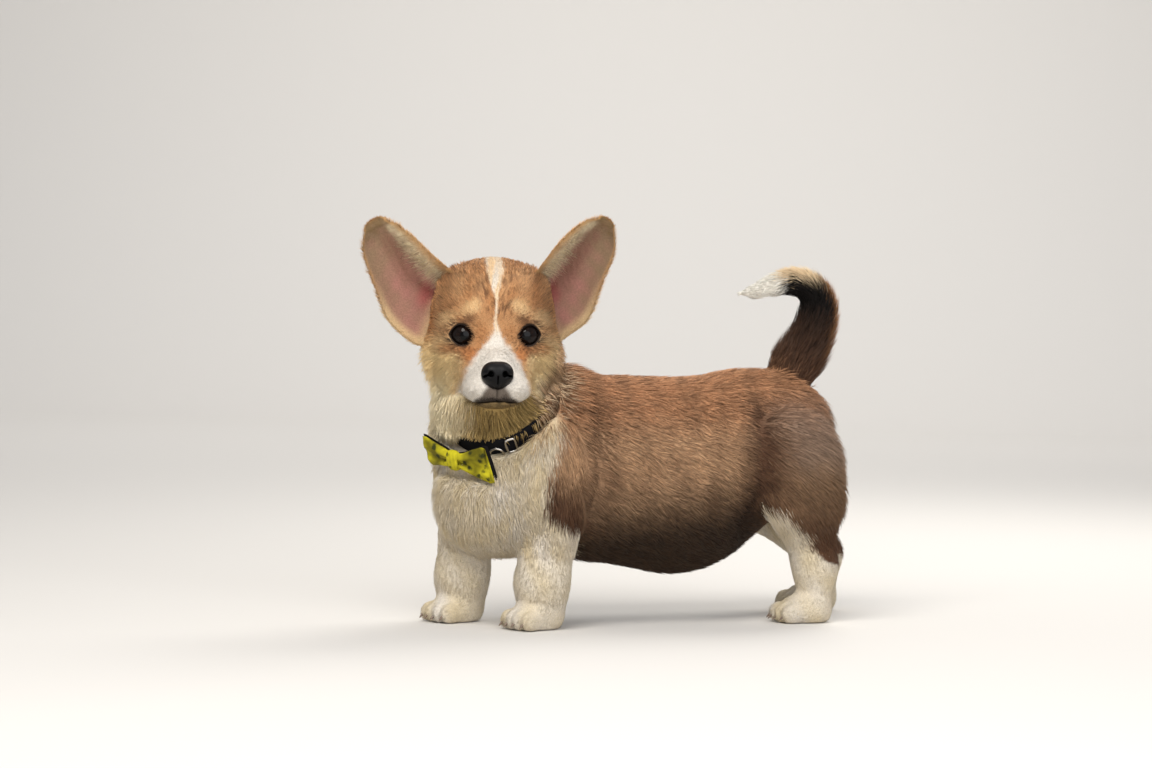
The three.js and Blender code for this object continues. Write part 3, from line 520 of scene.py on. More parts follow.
# Spots round the eyes: colour, strength, place across and up, half sizes and turn
FACE_SPOTS = [
    (BROW, 0.75, (19, 21.5), 9, 5.6, -35),
    (BROW, 0.8, (35, 11.5), 9, 5.0, -48),
    (STREAK, 0.75, (20.5, 12), 5.5, 3.6, -20),
    (RUST, 0.75, (21, -13.5), 9, 6.5, 35),
    (RUST, 0.7, (32, -10), 9, 5),
    (DEEP_TAN, 0.8, (11, 1), 6, 9),
]
# Half the blaze's width by height, and where the ruff starts behind the cheek by height
BLAZE_HEIGHTS = [-62, -51, -45, -36, -27, -19, -12, -6, -1, 5, 11, 26, 33, 41, 50, 62]
BLAZE_HALVES = [22, 26, 27.5, 25.5, 22, 17.5, 12.5, 7.4, 4.0, 2.0, 0.4, 0.1, 1.4, 3.9, 5.8, 6.2]
RUFF_LINE = [-62, -50, -36, -22, -8, 4], [26, 31, 37, 42, 47, 56]


def spot_of(y, z, middle, wide, high, turn=0.0):
    """One at a place, falling to nothing at the edge of an oval round it."""
    c, s = math.cos(math.radians(turn)), math.sin(math.radians(turn))
    dy, dz = y - middle[0], z - middle[1]
    return smooth(1.35, 0.35, np.hypot((c * dy + s * dz) / wide, (c * dz - s * dy) / high))


def face_colour(p):
    """Markings of the head, in its frame, with painted shade in the creases by the ears, round the eyes and
    under the chin and throat.
    """
    raw = p
    p = p + np.stack([wave(p, 9, k) for k in (1, 2, 3)], -1) * 0.6
    x, y, z = p.T
    y = y + 1.6 * smooth(0, -30, z)
    side = np.abs(y)
    colour = layered(
        mix(TAN, DEEP_TAN, 0.45 + 0.45 * wave(p, 22, 4)),
        (DEEP_TAN, 0.5 * smooth(-20, -60, x)),
        # the cheeks pale downwards to the throat
        (CHEEK, smooth(20, 32, side) * smooth(6, -14, z) * smooth(-70, -50, x)),
        (CREAM, smooth(-20, -46, z) * smooth(26, 38, side)),
    )
    # streaks that fan out beside the blaze
    angle, far = np.arctan2(side, z + 12), np.hypot(side, z + 12)
    fan = np.stack([angle * 34 * np.sign(y), far * 0.22, 0 * far], -1)
    fine = smooth(-0.25, 0.7, wave(fan, 2.7, 5))
    reach = smooth(20, 7, side) * smooth(9, 20, z) * smooth(52, 34, z)
    colour = layered(
        colour,
        (STREAK, 0.85 * fine * reach),
        (STREAK, 0.3 * fine * smooth(36, 16, side) * smooth(26, 38, z) * smooth(62, 44, z)),
    )
    front = smooth(-38, -22, x)
    for tint, much, *oval in FACE_SPOTS:
        colour = mix(colour, tint, much * spot_of(side, z, *oval) * front)
    # painted shade in the crease where each ear meets the head
    colour = mix(colour, STREAK, 0.7 * spot_of(side, z, (42, 47), 3.5, 9, 20) * smooth(-34, -20, x))
    # the blaze and the white muzzle
    half = np.interp(z, BLAZE_HEIGHTS, BLAZE_HALVES)
    soft = 1.5 + 1.5 * smooth(6, -14, z)
    half = half + 0.9 * smooth(6, -10, z) * wave(raw, 5, 8)
    white = smooth(half + soft, half - soft, side) * np.where(z > 30, smooth(-46, -36, x), 1)
    white *= smooth(-14, -6, x) * smooth(-5, 0, z) + smooth(0, -5, z) * smooth(-10, -4, x) + smooth(5, 10, z)
    blaze = mix(WHITE, BROW, (0.45 + 0.35 * wave(fan, 2.2, 9)) * smooth(-2, 6, z))
    colour = layered(
        colour,
        (blaze, np.clip(white, 0, 1)),
        # painted shade under the chin: the throat's cream-tan is darkened
        (SHADED_THROAT, smooth(26, 12, x) * smooth(-44, -54, z) * smooth(46, 34, side)),
    )
    # the ruff that starts behind the cheek on the body's side
    ruff = smooth(-3, 3, y - np.interp(z, *RUFF_LINE) + 1.6 * wave(raw, 7, 6))
    locks = smooth(-0.3, 0.5, wave(np.stack([0.25 * z, y + 0.4 * z, 0 * z], -1), 4.2, 7))
    colour = mix(colour, mix(SABLE, STREAK, 0.75 * locks), 0.85 * ruff)
    # the dark arch under the nose, the line of the lips, the chin, and the dark edge of the lids
    roof = np.interp(x, [-4, 20, 44], [-43, -50.2, -48.4]) - 0.0035 * y**2
    arch = np.maximum((side - np.interp(z, [-51, -46, -40, -34], [17, 12, 8, 5])) / 4, (z + 35) / 4)
    arch = smooth(0.5, -0.7, arch) * smooth(20, 30, x) * smooth(-52, -50, z)
    colour = layered(
        colour,
        (LIP_SHADE, 0.92 * arch),
        (LIP, 0.7 * arch * smooth(-44, -50, z)),
    )
    # painted shade under the chin, darker still towards its underside
    chin = mix(SHADED_THROAT, LIP_SHADE, 0.45 * smooth(-60, -52, z))
    colour = mix(colour, chin, smooth(0.6, -1.2, z - roof) * smooth(30, 24, side) * smooth(-16, -6, x))
    lips = smooth(2.6, 0.7, np.abs(z - roof + 0.4)) * smooth(0, 8, x) * (0.45 + 0.55 * smooth(18, 12, side))
    colour = mix(colour, LIP, 0.85 * lips)
    for sign in (1, -1):
        e = in_eye(raw, sign)
        gap = eye_opening(e, sign)
        # painted shade in the socket round the eye opening, then the dark rims of the lids
        colour = mix(colour, STREAK, 0.45 * smooth(6, 1, gap) * (e[:, 0] > 0))
        colour = mix(colour, LIP, 0.97 * smooth(2.3, 0.9, gap) * (e[:, 0] > 0))
    return colour


# Lines on the body, each by height: the white's edge ahead of the middle, the two creases, a hind leg's brown
WHITE_EDGE = [30, 62, 81, 93, 106, 138, 155, 193, 220], [92, 98, 124, 143, 142, 134, 126, 120, 126]
FLANK_CREASE = [80, 110, 145, 182], [-45, -59.5, -60, -61]
SHOULDER_CREASE = [97, 120, 148, 182], [88.5, 81.6, 83, 86]
HIND_EDGE = [44, 48, 52, 62, 74, 84, 92, 102], [-150, -122, -111, -102, -95, -85, -76, -50]


def creases(p):
    """How deep a place lies in the folds before the thigh and behind the shoulder, from none to one."""
    x, y, z = np.moveaxis(p, -1, 0)
    flank = (x - np.interp(z, *FLANK_CREASE)) / 10
    shoulder = (x - np.interp(z, *SHOULDER_CREASE) - 16 * (y < 0)) / 7.5
    share = 0.75 - 0.35 * (y < 0)
    both = np.exp(-(flank**2)) * smooth(60, 88, z) + share * np.exp(-(shoulder**2)) * smooth(80, 100, z)
    return both * smooth(192, 165, z) * smooth(6, 24, np.abs(y))


def body_colour(p):
    """Markings of the body, with painted shade in its creases, underneath and under the head, in millimetres
    from the middle of the floor.
    """
    p = p + np.stack([wave(p, 18, k) for k in (11, 12, 13)], -1) * 1.6
    x, y, z = p.T
    colour = layered(
        mix(SABLE, SABLE_RED, smooth(142, 178, z)),
        (SABLE_DARK, 0.22 + 0.3 * wave(p * [1, 1, 0.6], 26, 14)),
        (SABLE_GREY, 0.75 * smooth(-30, -86, x) * smooth(100, 140, z) * smooth(196, 160, z)),
    )
    rear = smooth(-52, -84, x)
    colour = layered(
        colour,
        (THIGH, 0.9 * rear * smooth(140, 112, z)),
        (PATCH_AND_SHADE, 0.8 * rear * smooth(116, 66, z)),
        (SABLE_DARK, 0.1 * smooth(70, 92, x) * smooth(112, 94, x) * smooth(180, 150, z)),
        (SABLE_DARK, 0.8 * smooth(-30, -52, x) * smooth(-92, -66, x) * smooth(170, 136, z)),
        # painted shade in the folds before the thigh and behind the shoulder
        (PATCH_AND_SHADE, 0.85 * creases(p)),
        # painted shade under the body: darker towards the belly, low on the ribs
        (BELLY_PAINTED_SHADE, 0.95 * smooth(138, 72, z + 0.12 * x) * (1 - rear)),
        (TAIL_BROWN, 0.8 * smooth(-74, -100, x) * smooth(188, 158, z) * smooth(30, 6, np.abs(y))),
    )
    # the white of the chest, throat and forelegs, and the dark patch behind it
    edge = np.interp(z, *WHITE_EDGE)
    place = into(CHEST_FRAME, p)
    depth = place[:, 0] + 140 - 0.16 * np.abs(place[:, 1])
    soft = 3.5 + 4 * smooth(125, 145, z)
    white = smooth(edge - soft, edge + soft, depth + 2.5 * wave(p, 9, 20) * smooth(120, 140, z))
    behind = smooth(44, 22, edge - depth) * smooth(72, 84, z) * smooth(134, 104, z)
    colour = mix(colour, PATCH_AND_SHADE, 0.85 * behind)
    pale = mix(WHITE, IVORY, 0.6 + 0.4 * wave(p, 26, 15))
    # the throat is creamy, darkened in its middle and on the left by painted shade under the head, and its
    # ruff on the left is streaked
    over = smooth(-2, 6, into(COLLAR_FRAME, p)[:, 2])
    across = into(HEAD_FRAME, p)[:, 1]
    pale = mix(mix(pale, CREAM, 0.9 * over), SHADED_THROAT, over * smooth(-38, -10, across))
    locks = smooth(-0.4, 0.5, wave(p, 4.5, 16))
    ruff = mix(mix(SABLE, CREAM, 0.4 - 0.4 * locks), STREAK, 0.85 * locks)
    return mix(mix(colour, pale, white), ruff, over * smooth(24, 36, across) * smooth(90, 110, x))


def leg_colour(p, name):
    """A foreleg is white below the elbow; a hind leg is brown outside and behind, down to the hock."""
    x, z = p[:, 0], p[:, 2]
    ragged = 2.2 * wave(p, 12, 17)
    white_leg = mix(WHITE, IVORY, 0.5 + 0.3 * wave(p, 24, 19))
    if name.startswith("fore"):
        return mix(body_colour(p), white_leg, smooth(83, 77, z + ragged))
    side = name.split("_")[1]
    ahead = x - stride_at(side, z)
    return mix(body_colour(p), white_leg, smooth(-3, 3, ahead - np.interp(z, *HIND_EDGE) + ragged))


def tail_colour(p, t, around):
    """around is how far a place faces out of the curl."""
    colour = layered(
        mix(TAIL_BROWN, TAIL_DARK, smooth(0.1, 0.36, t)),
        (TAIL_LIGHT, 0.9 * smooth(-0.05, 0.5, around) * smooth(0.42, 0.54, t)),
        (DEEP_TAN, 0.6 * smooth(0.35, 0.9, around) * smooth(0.1, 0.3, t) * smooth(0.5, 0.42, t)),
    )
    return mix(colour, BRIGHT, smooth(0.66, 0.72, t + 0.02 * wave(p, 8, 18)))


# Materials


def new_material(name, roughness, **sockets):
    material = bpy.data.materials.new(name)
    material.use_nodes = True
    tree = material.node_tree
    shader = next(n for n in tree.nodes if n.type == "BSDF_PRINCIPLED")
    shader.inputs["Roughness"].default_value = roughness
    for key, value in sockets.items():
        shader.inputs[key.replace("_", " ")].default_value = value
    return material, tree, shader


def node(tree, kind, inputs=None, **settings):
    made = tree.nodes.new(f"ShaderNode{kind}")
    for key, value in settings.items():
        setattr(made, key, value)
    for key, value in (inputs or {}).items():
        if isinstance(value, bpy.types.NodeSocket):
            tree.links.new(value, made.inputs[key])
        else:
            made.inputs[key].default_value = value
    return made


def add_bump(tree, shader, height, strength, distance):
    bump = node(tree, "Bump", {"Height": height, "Strength": strength, "Distance": distance * MM})
    tree.links.new(bump.outputs["Normal"], shader.inputs["Normal"])


def texture(tree, kind, scale, output="Fac", **inputs):
    """A texture laid on the object; its scale is in repeats a metre."""
    place = node(tree, "TexCoord").outputs["Object"]
    return node(tree, f"Tex{kind}", {"Vector": place, "Scale": scale, **inputs}).outputs[output]


def mapped(tree, value, source, target=(0.0, 1.0)):
    """A value stretched from one range to another."""
    ends = {"From Min": source[0], "From Max": source[1], "To Min": target[0], "To Max": target[1]}
    return node(tree, "MapRange", {"Value": value, **ends}).outputs["Result"]


def blended(tree, share, first, second):
    """Two colours or sockets, mixed by a share."""
    first, second = ((*c, 1) if isinstance(c, (tuple, np.ndarray)) else c for c in (first, second))
    return node(tree, "Mix", {"Factor": share, 6: first, 7: second}, data_type="RGBA").outputs[2]


def mesh_colour(tree):
    """The colour that the mesh carries."""
    return node(tree, "Attribute", attribute_name="coat").outputs["Color"]


def coat_material(name, fleck, roughness=0.62):
    """Takes its colour from the mesh, with flecks."""
    sockets = {"Specular_IOR_Level": 0.13, "Sheen_Weight": 0.02, "Sheen_Roughness": 0.5}
    material, tree, shader = new_material(name, roughness, **sockets)
    noise = texture(tree, "Noise", 900.0, Detail=3.0)
    shade = mapped(tree, noise, (0.3, 0.7), (1 - fleck, 1 + fleck))
    tint = node(tree, "VectorMath", {0: mesh_colour(tree), "Scale": shade}, operation="SCALE")
    tree.links.new(tint.outputs["Vector"], shader.inputs["Base Color"])
    return material, tree, shader, noise


fur_material, *_ = coat_material("fur", 0.08)
skin_material, tree, shader, noise = coat_material("skin", 0.16, 0.75)
add_bump(tree, shader, noise, 0.6, 0.6)

# The skin

FACE_LOW, FACE_HIGH = np.array([-14, -44, -68]), np.array([56, 44, 46])
SHORT_HEAD_FRAME = HEAD_FRAME.astype(np.float32)


def to_head(p):
    """Points in the head's frame, in the short floats that large grids need."""
    return into(SHORT_HEAD_FRAME, p)


def face_depth(q):
    """How far inside the block of the finely drawn face a point lies."""
    return np.minimum(q - FACE_LOW, FACE_HIGH - q).min(-1)


def head_shape(q):
    return soft_min(skull_field(q) + DEPTH["skull"], muzzle_field(q) + DEPTH["muzzle"], 7)


def coarse_head(p):
    q = to_head(p)
    return head_shape(q) + 3 * smooth(1, 8, face_depth(q))


body_grid = Grid([-180, -78, -3], [228, 84, 312], 1.7)
body_grid.add(trunk_field, DEPTH["trunk"], [-150, -75, 30], [215, 80, 215], 4)
body_grid.add(neck_field, DEPTH["neck"], [90, -50, 90], [215, 75, 250], 12)
for side in SIDES:
    middle = out_of(CHEST_FRAME, [FORE[side][0], FORE[side][1], 0])
    foot = hind_spot(side, -113, 20)
    for leg, name, low, high in (
        (foreleg_field, "fore", middle - [60, 45, 0], middle + [60, 45, 180]),
        (hindleg_field, "hind", [min(foot[0], -113) - 40, foot[1] - 40, -3], [-30, foot[1] + 40, 190]),
    ):
        body_grid.add(leg(side), DEPTH["leg"], low, high, 10)
        body_grid.add(paw_field(PAWS[f"{name}_{side}"]), DEPTH["paw"], low, [high[0], high[1], 30], 6)
body_grid.add(tail_field, DEPTH["tail"], [-155, -30, 150], [-50, 30, 300], 8)
body_grid.add(coarse_head, 0, [95, -20, 150], [228, 84, 312], 9)
where, spots = body_grid.part([-95, -76, 50], [125, 82, 198])
body_grid.value[where] += 3.2 * creases(spots).astype(np.float32)


def at_collar(p):
    """How far points are from the collar's axis, and how far above the middle of its band."""
    q = into(COLLAR_FRAME, p)
    return np.hypot(q[..., 0], q[..., 1]), q[..., 2]


def collar_room(p):
    """The ring the collar needs free, a little wider than its band."""
    out, above = at_collar(p)
    across = np.maximum(COLLAR["radius"] - 0.6 - out, out - COLLAR["radius"] - 9)
    return np.maximum(across, np.abs(above) - COLLAR["wide"] / 2 - 0.5)


def bow_room(p):
    return (np.abs(into(BOW_FRAME, p) - [9, 0, 0]) - [16, 38, 17]).max(-1)


# the collar and the bow press the coat in, and the soles are flat
body_grid.cut(collar_room, [95, -40, 100], [215, 84, 235], 2)
body_grid.cut(bow_room, [160, -20, 90], [228, 84, 170], 4)
floor_height = body_grid.low[2] + body_grid.step * np.arange(body_grid.value.shape[2])
body_grid.value = np.maximum(body_grid.value, 0.4 - floor_height[None, None, :].astype(np.float32))
body_points, body_quads = body_grid.surface()

# The face, drawn finer

MOUTH_LINE = [-4, 4, 12, 20, 32, 44, 60], [-43, -46.2, -49, -50.2, -50.2, -48.4, -44.6]


def face_field(p):
    """The front of the head with its lids, the line of the mouth, and room for the nose and the eyeballs."""
    d = head_shape(p)
    for sign in (1, -1):
        e = in_eye(p, sign).astype(np.float32)
        ball = np.linalg.norm(e, axis=1) - EYE["radius"]
        opening = eye_opening(e, sign)
        socket = np.maximum(np.maximum(ball - 3.5, opening - 1.5), -e[:, 0])
        lid = np.maximum(np.maximum(ball - 1.5, opening - 6), -e[:, 0])
        slit = np.maximum(opening * 0.8, -e[:, 0])
        d = soft_max(soft_min(soft_max(d, -socket, 2.5), lid, 3.5), -slit, 0.8)
        d = np.maximum(d, 0.05 - ball)
    x, y, z = p.T
    roof = np.interp(x, *MOUTH_LINE) - 0.3 - 0.0035 * y**2
    groove = np.maximum(np.abs(z - roof) - 0.45, -(d + 2.4))
    d = np.where(x > -2, soft_max(d, -groove, 1.0), d)
    above_lip = np.maximum(z + 37.5, roof - z)
    philtrum = np.maximum(np.maximum(np.abs(y - SNOUT) - 0.4, above_lip), np.maximum(-(d + 1.4), 25 - x))
    d = soft_max(d, -philtrum, 1.0)
    nose_room = blend(5, lumps(NOSE))(p) - 0.2
    return np.maximum(np.maximum(d, -nose_room), -face_depth(p))


face_grid = Grid(FACE_LOW - 2, FACE_HIGH + 2, 0.8)
face_grid.fill(face_field)
face_points, face_quads = face_grid.surface()
face_points = out_of(HEAD_FRAME, face_points)


# The ears: a cupped sheet each, from its root to its tip


def ear_sheet(side, sign, rows=44, columns=26):
    """Both faces of an ear in the head's frame, its ways out, up and across, and the shares along both."""
    inner, outer = catmull(EAR_INNER[side], rows), catmull(EAR_OUTER[side], rows)
    inner[:, 1] *= sign
    outer[:, 1] *= sign
    cup, thick = catmull(EAR_CUP, rows)[:, 0], catmull(EAR_THICK, rows)[:, 0]
    # the tip closes in a half round
    close = np.linspace(0, math.pi / 2, 7)[1:-1, None]
    middle, reach = (inner[-1] + outer[-1]) / 2, (inner[-1] - outer[-1]) / 2
    run = unit(inner[-1] - inner[-2] + outer[-1] - outer[-2]) * np.linalg.norm(reach) * 0.62
    inner = np.vstack([inner, middle + reach * np.cos(close) + run * np.sin(close)])
    outer = np.vstack([outer, middle - reach * np.cos(close) + run * np.sin(close)])
    cup, thick = (np.concatenate([c, c[-1] * np.cos(close[:, 0]) ** 0.5]) for c in (cup, thick))
    rows = len(inner)
    s = np.linspace(0.012, 0.988, columns)
    s = 0.5 - 0.5 * np.cos(s * math.pi) * (1 - 0.15 * np.sin(s * math.pi))
    middle = (inner + outer) / 2 + np.stack([-2 * cup, 0 * cup, 0 * cup], -1)
    a, b, c = inner[:, None], middle[:, None], outer[:, None]
    s3 = s[None, :, None]
    sheet = (1 - s3) ** 2 * a + 2 * s3 * (1 - s3) * b + s3**2 * c
    along = 2 * (1 - s3) * (b - a) + 2 * s3 * (c - b)
    up = unit(unit(np.gradient(inner, axis=0)) + unit(np.gradient(outer, axis=0)))
    away = unit(np.cross(along, up[:, None])) * sign
    t = np.linspace(0, 1, rows)[:, None]
    share = smooth(0, 0.07, np.minimum(s, 1 - s))[None, :, None]
    fold = sum(high * np.exp(-(((s - at - 0.12 * t) / 0.055) ** 2)) for at, high in EAR_FOLDS)
    front = sheet - away * (0.8 - (fold * smooth(0.6, 0.15, t))[..., None])
    back = sheet - away * (0.8 + (thick[:, None, None] - 1.6) * share)
    t, s = np.broadcast_arrays(t, s)
    return {"front": front, "back": back, "out": away, "up": up, "across": unit(along), "s": s, "t": t}


def ear_colour(p, t, s, front):
    """Markings of an ear, with painted shade in its hollow, at its root and over the inside of the left ear:
    t runs from root to tip, and s from its inner edge to its outer one.
    """
    if not front:
        colour = mix(TAN, DEEP_TAN, 0.5 + 0.5 * wave(p, 14, 21) + 0.4 * smooth(0.7, 1, t))
        colour = mix(colour, EAR_RIM, smooth(0.12, 0.02, np.minimum(s, 1 - s)))
        return mix(colour, EAR_BASE, 0.8 * smooth(0.86, 0.96, s) * smooth(0.6, 0.35, t))
    colour = mix(EAR_PINK, EAR_HAIR, 0.2 + 0.3 * wave(p, 12, 22) + 0.7 * smooth(0.4, 0.66, t))
    colour = mix(colour, EAR_HAIR, 0.5 * smooth(0.6, 0.85, s) * smooth(0.15, 0.4, t))
    hollow = smooth(0.16, 0.32, s) * smooth(0.64, 0.42, s) * smooth(0.16, 0.36, t) * smooth(0.86, 0.6, t)
    colour = layered(
        colour,
        # painted shade in the hollow of the ear
        (EAR_HOLLOW_SHADE, (0.7 + 0.3 * wave(p, 5, 23)) * hollow),
        (EAR_RED, 0.75 * smooth(1.2, 0.2, np.hypot((s - 0.42) / 0.2, (t - 0.2) / 0.1))),
        (EAR_CREAM, (0.65 + 0.3 * wave(p, 6, 24)) * smooth(0.3, 0.14, s) * smooth(0.95, 0.7, t)),
        # painted shade where the ear's root meets the head
        (EAR_SHADE, 0.7 * smooth(0.28, 0.12, t) * smooth(0.34, 0.14, s)),
        (EAR_TIP, 0.85 * smooth(0.74, 0.92, t + 0.05 * wave(p, 7, 26))),
        (EAR_BASE, 0.9 * smooth(0.2, 0.06, t) * smooth(0.3, 0.5, s)),
        (EAR_BASE, 0.8 * smooth(0.84, 0.96, s) * smooth(0.6, 0.35, t)),
    )
    rim = smooth(0.14, 0.02, s) + 0.6 * smooth(0.92, 1, s) * smooth(0.35, 0.6, t) + 0.7 * smooth(0.94, 1, t)
    # painted shade: the inside of the left ear is darker as a whole
    colour = colour * (1 - 0.2 * smooth(-20, 20, p[:, 1]))[:, None]
    return mix(colour, EAR_RIM, np.minimum(rim, 1) * (0.75 + 0.25 * wave(p, 6, 25)))


ear_meshes = []
EARS = {}
for side, sign in SIDES.items():
    sheet = ear_sheet(side, sign)
    EARS[sign] = sheet
    rows, columns = sheet["t"].shape
    ring = np.concatenate([sheet["front"], sheet["back"][:, ::-1]], 1)
    faces = grid_faces(rows, 2 * columns, True)
    here = np.arange(columns - 1)
    root = np.stack([here, here + 1, 2 * columns - 2 - here, 2 * columns - 1 - here], -1)
    faces = np.vstack([faces, root, root[:, ::-1] + (rows - 1) * 2 * columns])
    if sign > 0:
        faces = faces[:, ::-1]
    p = ring.reshape(-1, 3)
    s = np.concatenate([sheet["s"], sheet["s"][:, ::-1]], 1).reshape(-1)
    t = np.concatenate([sheet["t"], sheet["t"]], 1).reshape(-1)
    is_front = np.tile(np.arange(2 * columns) < columns, rows)
    colour = np.where(is_front[:, None], ear_colour(p, t, s, True), ear_colour(p, t, s, False))
    ear_meshes.append((out_of(HEAD_FRAME, p), faces, colour))

# The parts of the body

leg_fields = {f"fore_{side}": foreleg_field(side) for side in SIDES}
leg_fields |= {f"hind_{side}": hindleg_field(side) for side in SIDES}
PARTS = ["head", "neck", "trunk", *leg_fields, "tail"]
HEAD, NECK_PART, TRUNK, TAIL = (PARTS.index(name) for name in ("head", "neck", "trunk", "tail"))


def part_of(p):
    """The number of the part that each place belongs to."""
    p = p.astype(np.float32)
    values = [head_shape(to_head(p)), neck_field(p) + DEPTH["neck"], trunk_field(p) + DEPTH["trunk"]]
    for name, leg in leg_fields.items():
        values.append(np.minimum(leg(p) + DEPTH["leg"], paw_field(PAWS[name])(p) + DEPTH["paw"]))
    values.append(tail_field(p) + DEPTH["tail"])
    return np.argmin(values, axis=0)


def tail_place(p):
    """How far along the tail points are, which way it runs there, and how far they face out of its curl."""
    gap = np.linalg.norm(p[:, None, :] - tail_points[None, :, :], axis=2)
    nearest = gap.argmin(1)
    run = unit(np.gradient(tail_points, axis=0))[nearest]
    away = np.stack([-run[:, 2], 0 * run[:, 0], run[:, 0]], -1)
    facing = unit(p - tail_points[nearest])
    return nearest / TAIL_STEPS, run, (facing * away).sum(1)


def colour_of(p, part):
    """Markings of the body's places, each by its part."""
    colour = np.zeros_like(p)
    for index, name in enumerate(PARTS):
        here = part == index
        q = p[here]
        if name == "head":
            found = face_colour(into(HEAD_FRAME, q))
        elif name == "tail":
            t, _, around = tail_place(q)
            found = mix(body_colour(q), tail_colour(q, t, around), smooth(-0.02, 0.14, t))
        elif name in ("neck", "trunk"):
            found = body_colour(q)
        else:
            found = leg_colour(q, name)
        colour[here] = found
    return colour


# painted shade: the skin is darkened as if shaded by the hairs over it
SKIN_PAINTED_SHADE = 0.8  # the skin between the hairs is darker than they are
skin_parts = [
    (body_points, body_quads, colour_of(body_points, part_of(body_points))),
    (face_points, face_quads, face_colour(into(HEAD_FRAME, face_points))),
    *ear_meshes,
]
points, quads, colours = zip(*skin_parts)
starts = np.cumsum([0] + [len(p) for p in points[:-1]])
quads = np.vstack([f + start for f, start in zip(quads, starts)])
skin = make_mesh("skin", np.vstack(points), [quads], skin_material, np.vstack(colours) * SKIN_PAINTED_SHADE)

# The coat

tuft_pieces = []


def triangles_of(points, quads):
    """Two triangles from each quad, and their areas."""
    triangles = np.vstack([quads[:, [0, 1, 2]], quads[:, [0, 2, 3]]])
    a, b, c = (points[triangles[:, k]] for k in range(3))
    return triangles, np.linalg.norm(np.cross(b - a, c - a), axis=1) / 2


def scattered(triangles, want, rng):
    """Random places, want of them on each triangle: the corners of the one they lie in, and their shares."""
    number = int(want.sum())
    pick = rng.choice(len(triangles), number, p=want / want.sum())
    u, v = rng.random((2, number, 1))
    flip = u + v > 1
    u, v = np.where(flip, 1 - u, u), np.where(flip, 1 - v, v)
    return triangles[pick], np.hstack([1 - u - v, u, v])


def roots_on(points, quads, density, rng):
    """Random places on a skin, and its normals there. density gives the tufts per square millimetre."""
    triangles, area = triangles_of(points, quads)
    corners, shares = scattered(triangles, area * density(points[triangles].sum(1) / 3), rng)
    spot, normal = ((of[corners] * shares[..., None]).sum(1) for of in (points, normals_of(points, [quads])))
    return spot, unit(normal)


# A blade's corners on its patch of the unwrap, in shares of it, and its quads and triangles
CORNERS = np.array([[-1, -1], [1, -1], [0, -1], [-0.7, 0], [0.7, 0], [0, 0], [0, 1]]) * 0.0015
BENT = [[[0, 1, 4, 3]], [[1, 2, 5, 4]], [[2, 0, 3, 5]]], [[[0, 2, 1]], [[3, 4, 6]], [[4, 5, 6]], [[5, 3, 6]]]
STRAIGHT = [], [[[0, 2, 1]], [[0, 1, 3]], [[1, 2, 3]], [[2, 0, 3]]]
CLUMP_SIZE = 12  # blades that lean to one
BEND = 0.48  # where along a blade it bends
SINK = 0.7  # how deep its root is in the skin


def clear_of_collar(p):
    """Points of hair near the collar's band, moved out to lie over it."""
    q = into(COLLAR_FRAME, p)
    out = np.hypot(q[..., 0], q[..., 1])
    gap = np.maximum(np.abs(q[..., 2]) - COLLAR["wide"] / 2, 0)
    least = COLLAR["radius"] + COLLAR["thick"] + 1.2 - 0.6 * gap
    near = (gap < 5) & (out > 30) & (out < least)
    q[..., :2] *= np.where(near, least / np.maximum(out, 1), 1)[..., None]
    return out_of(COLLAR_FRAME, q)


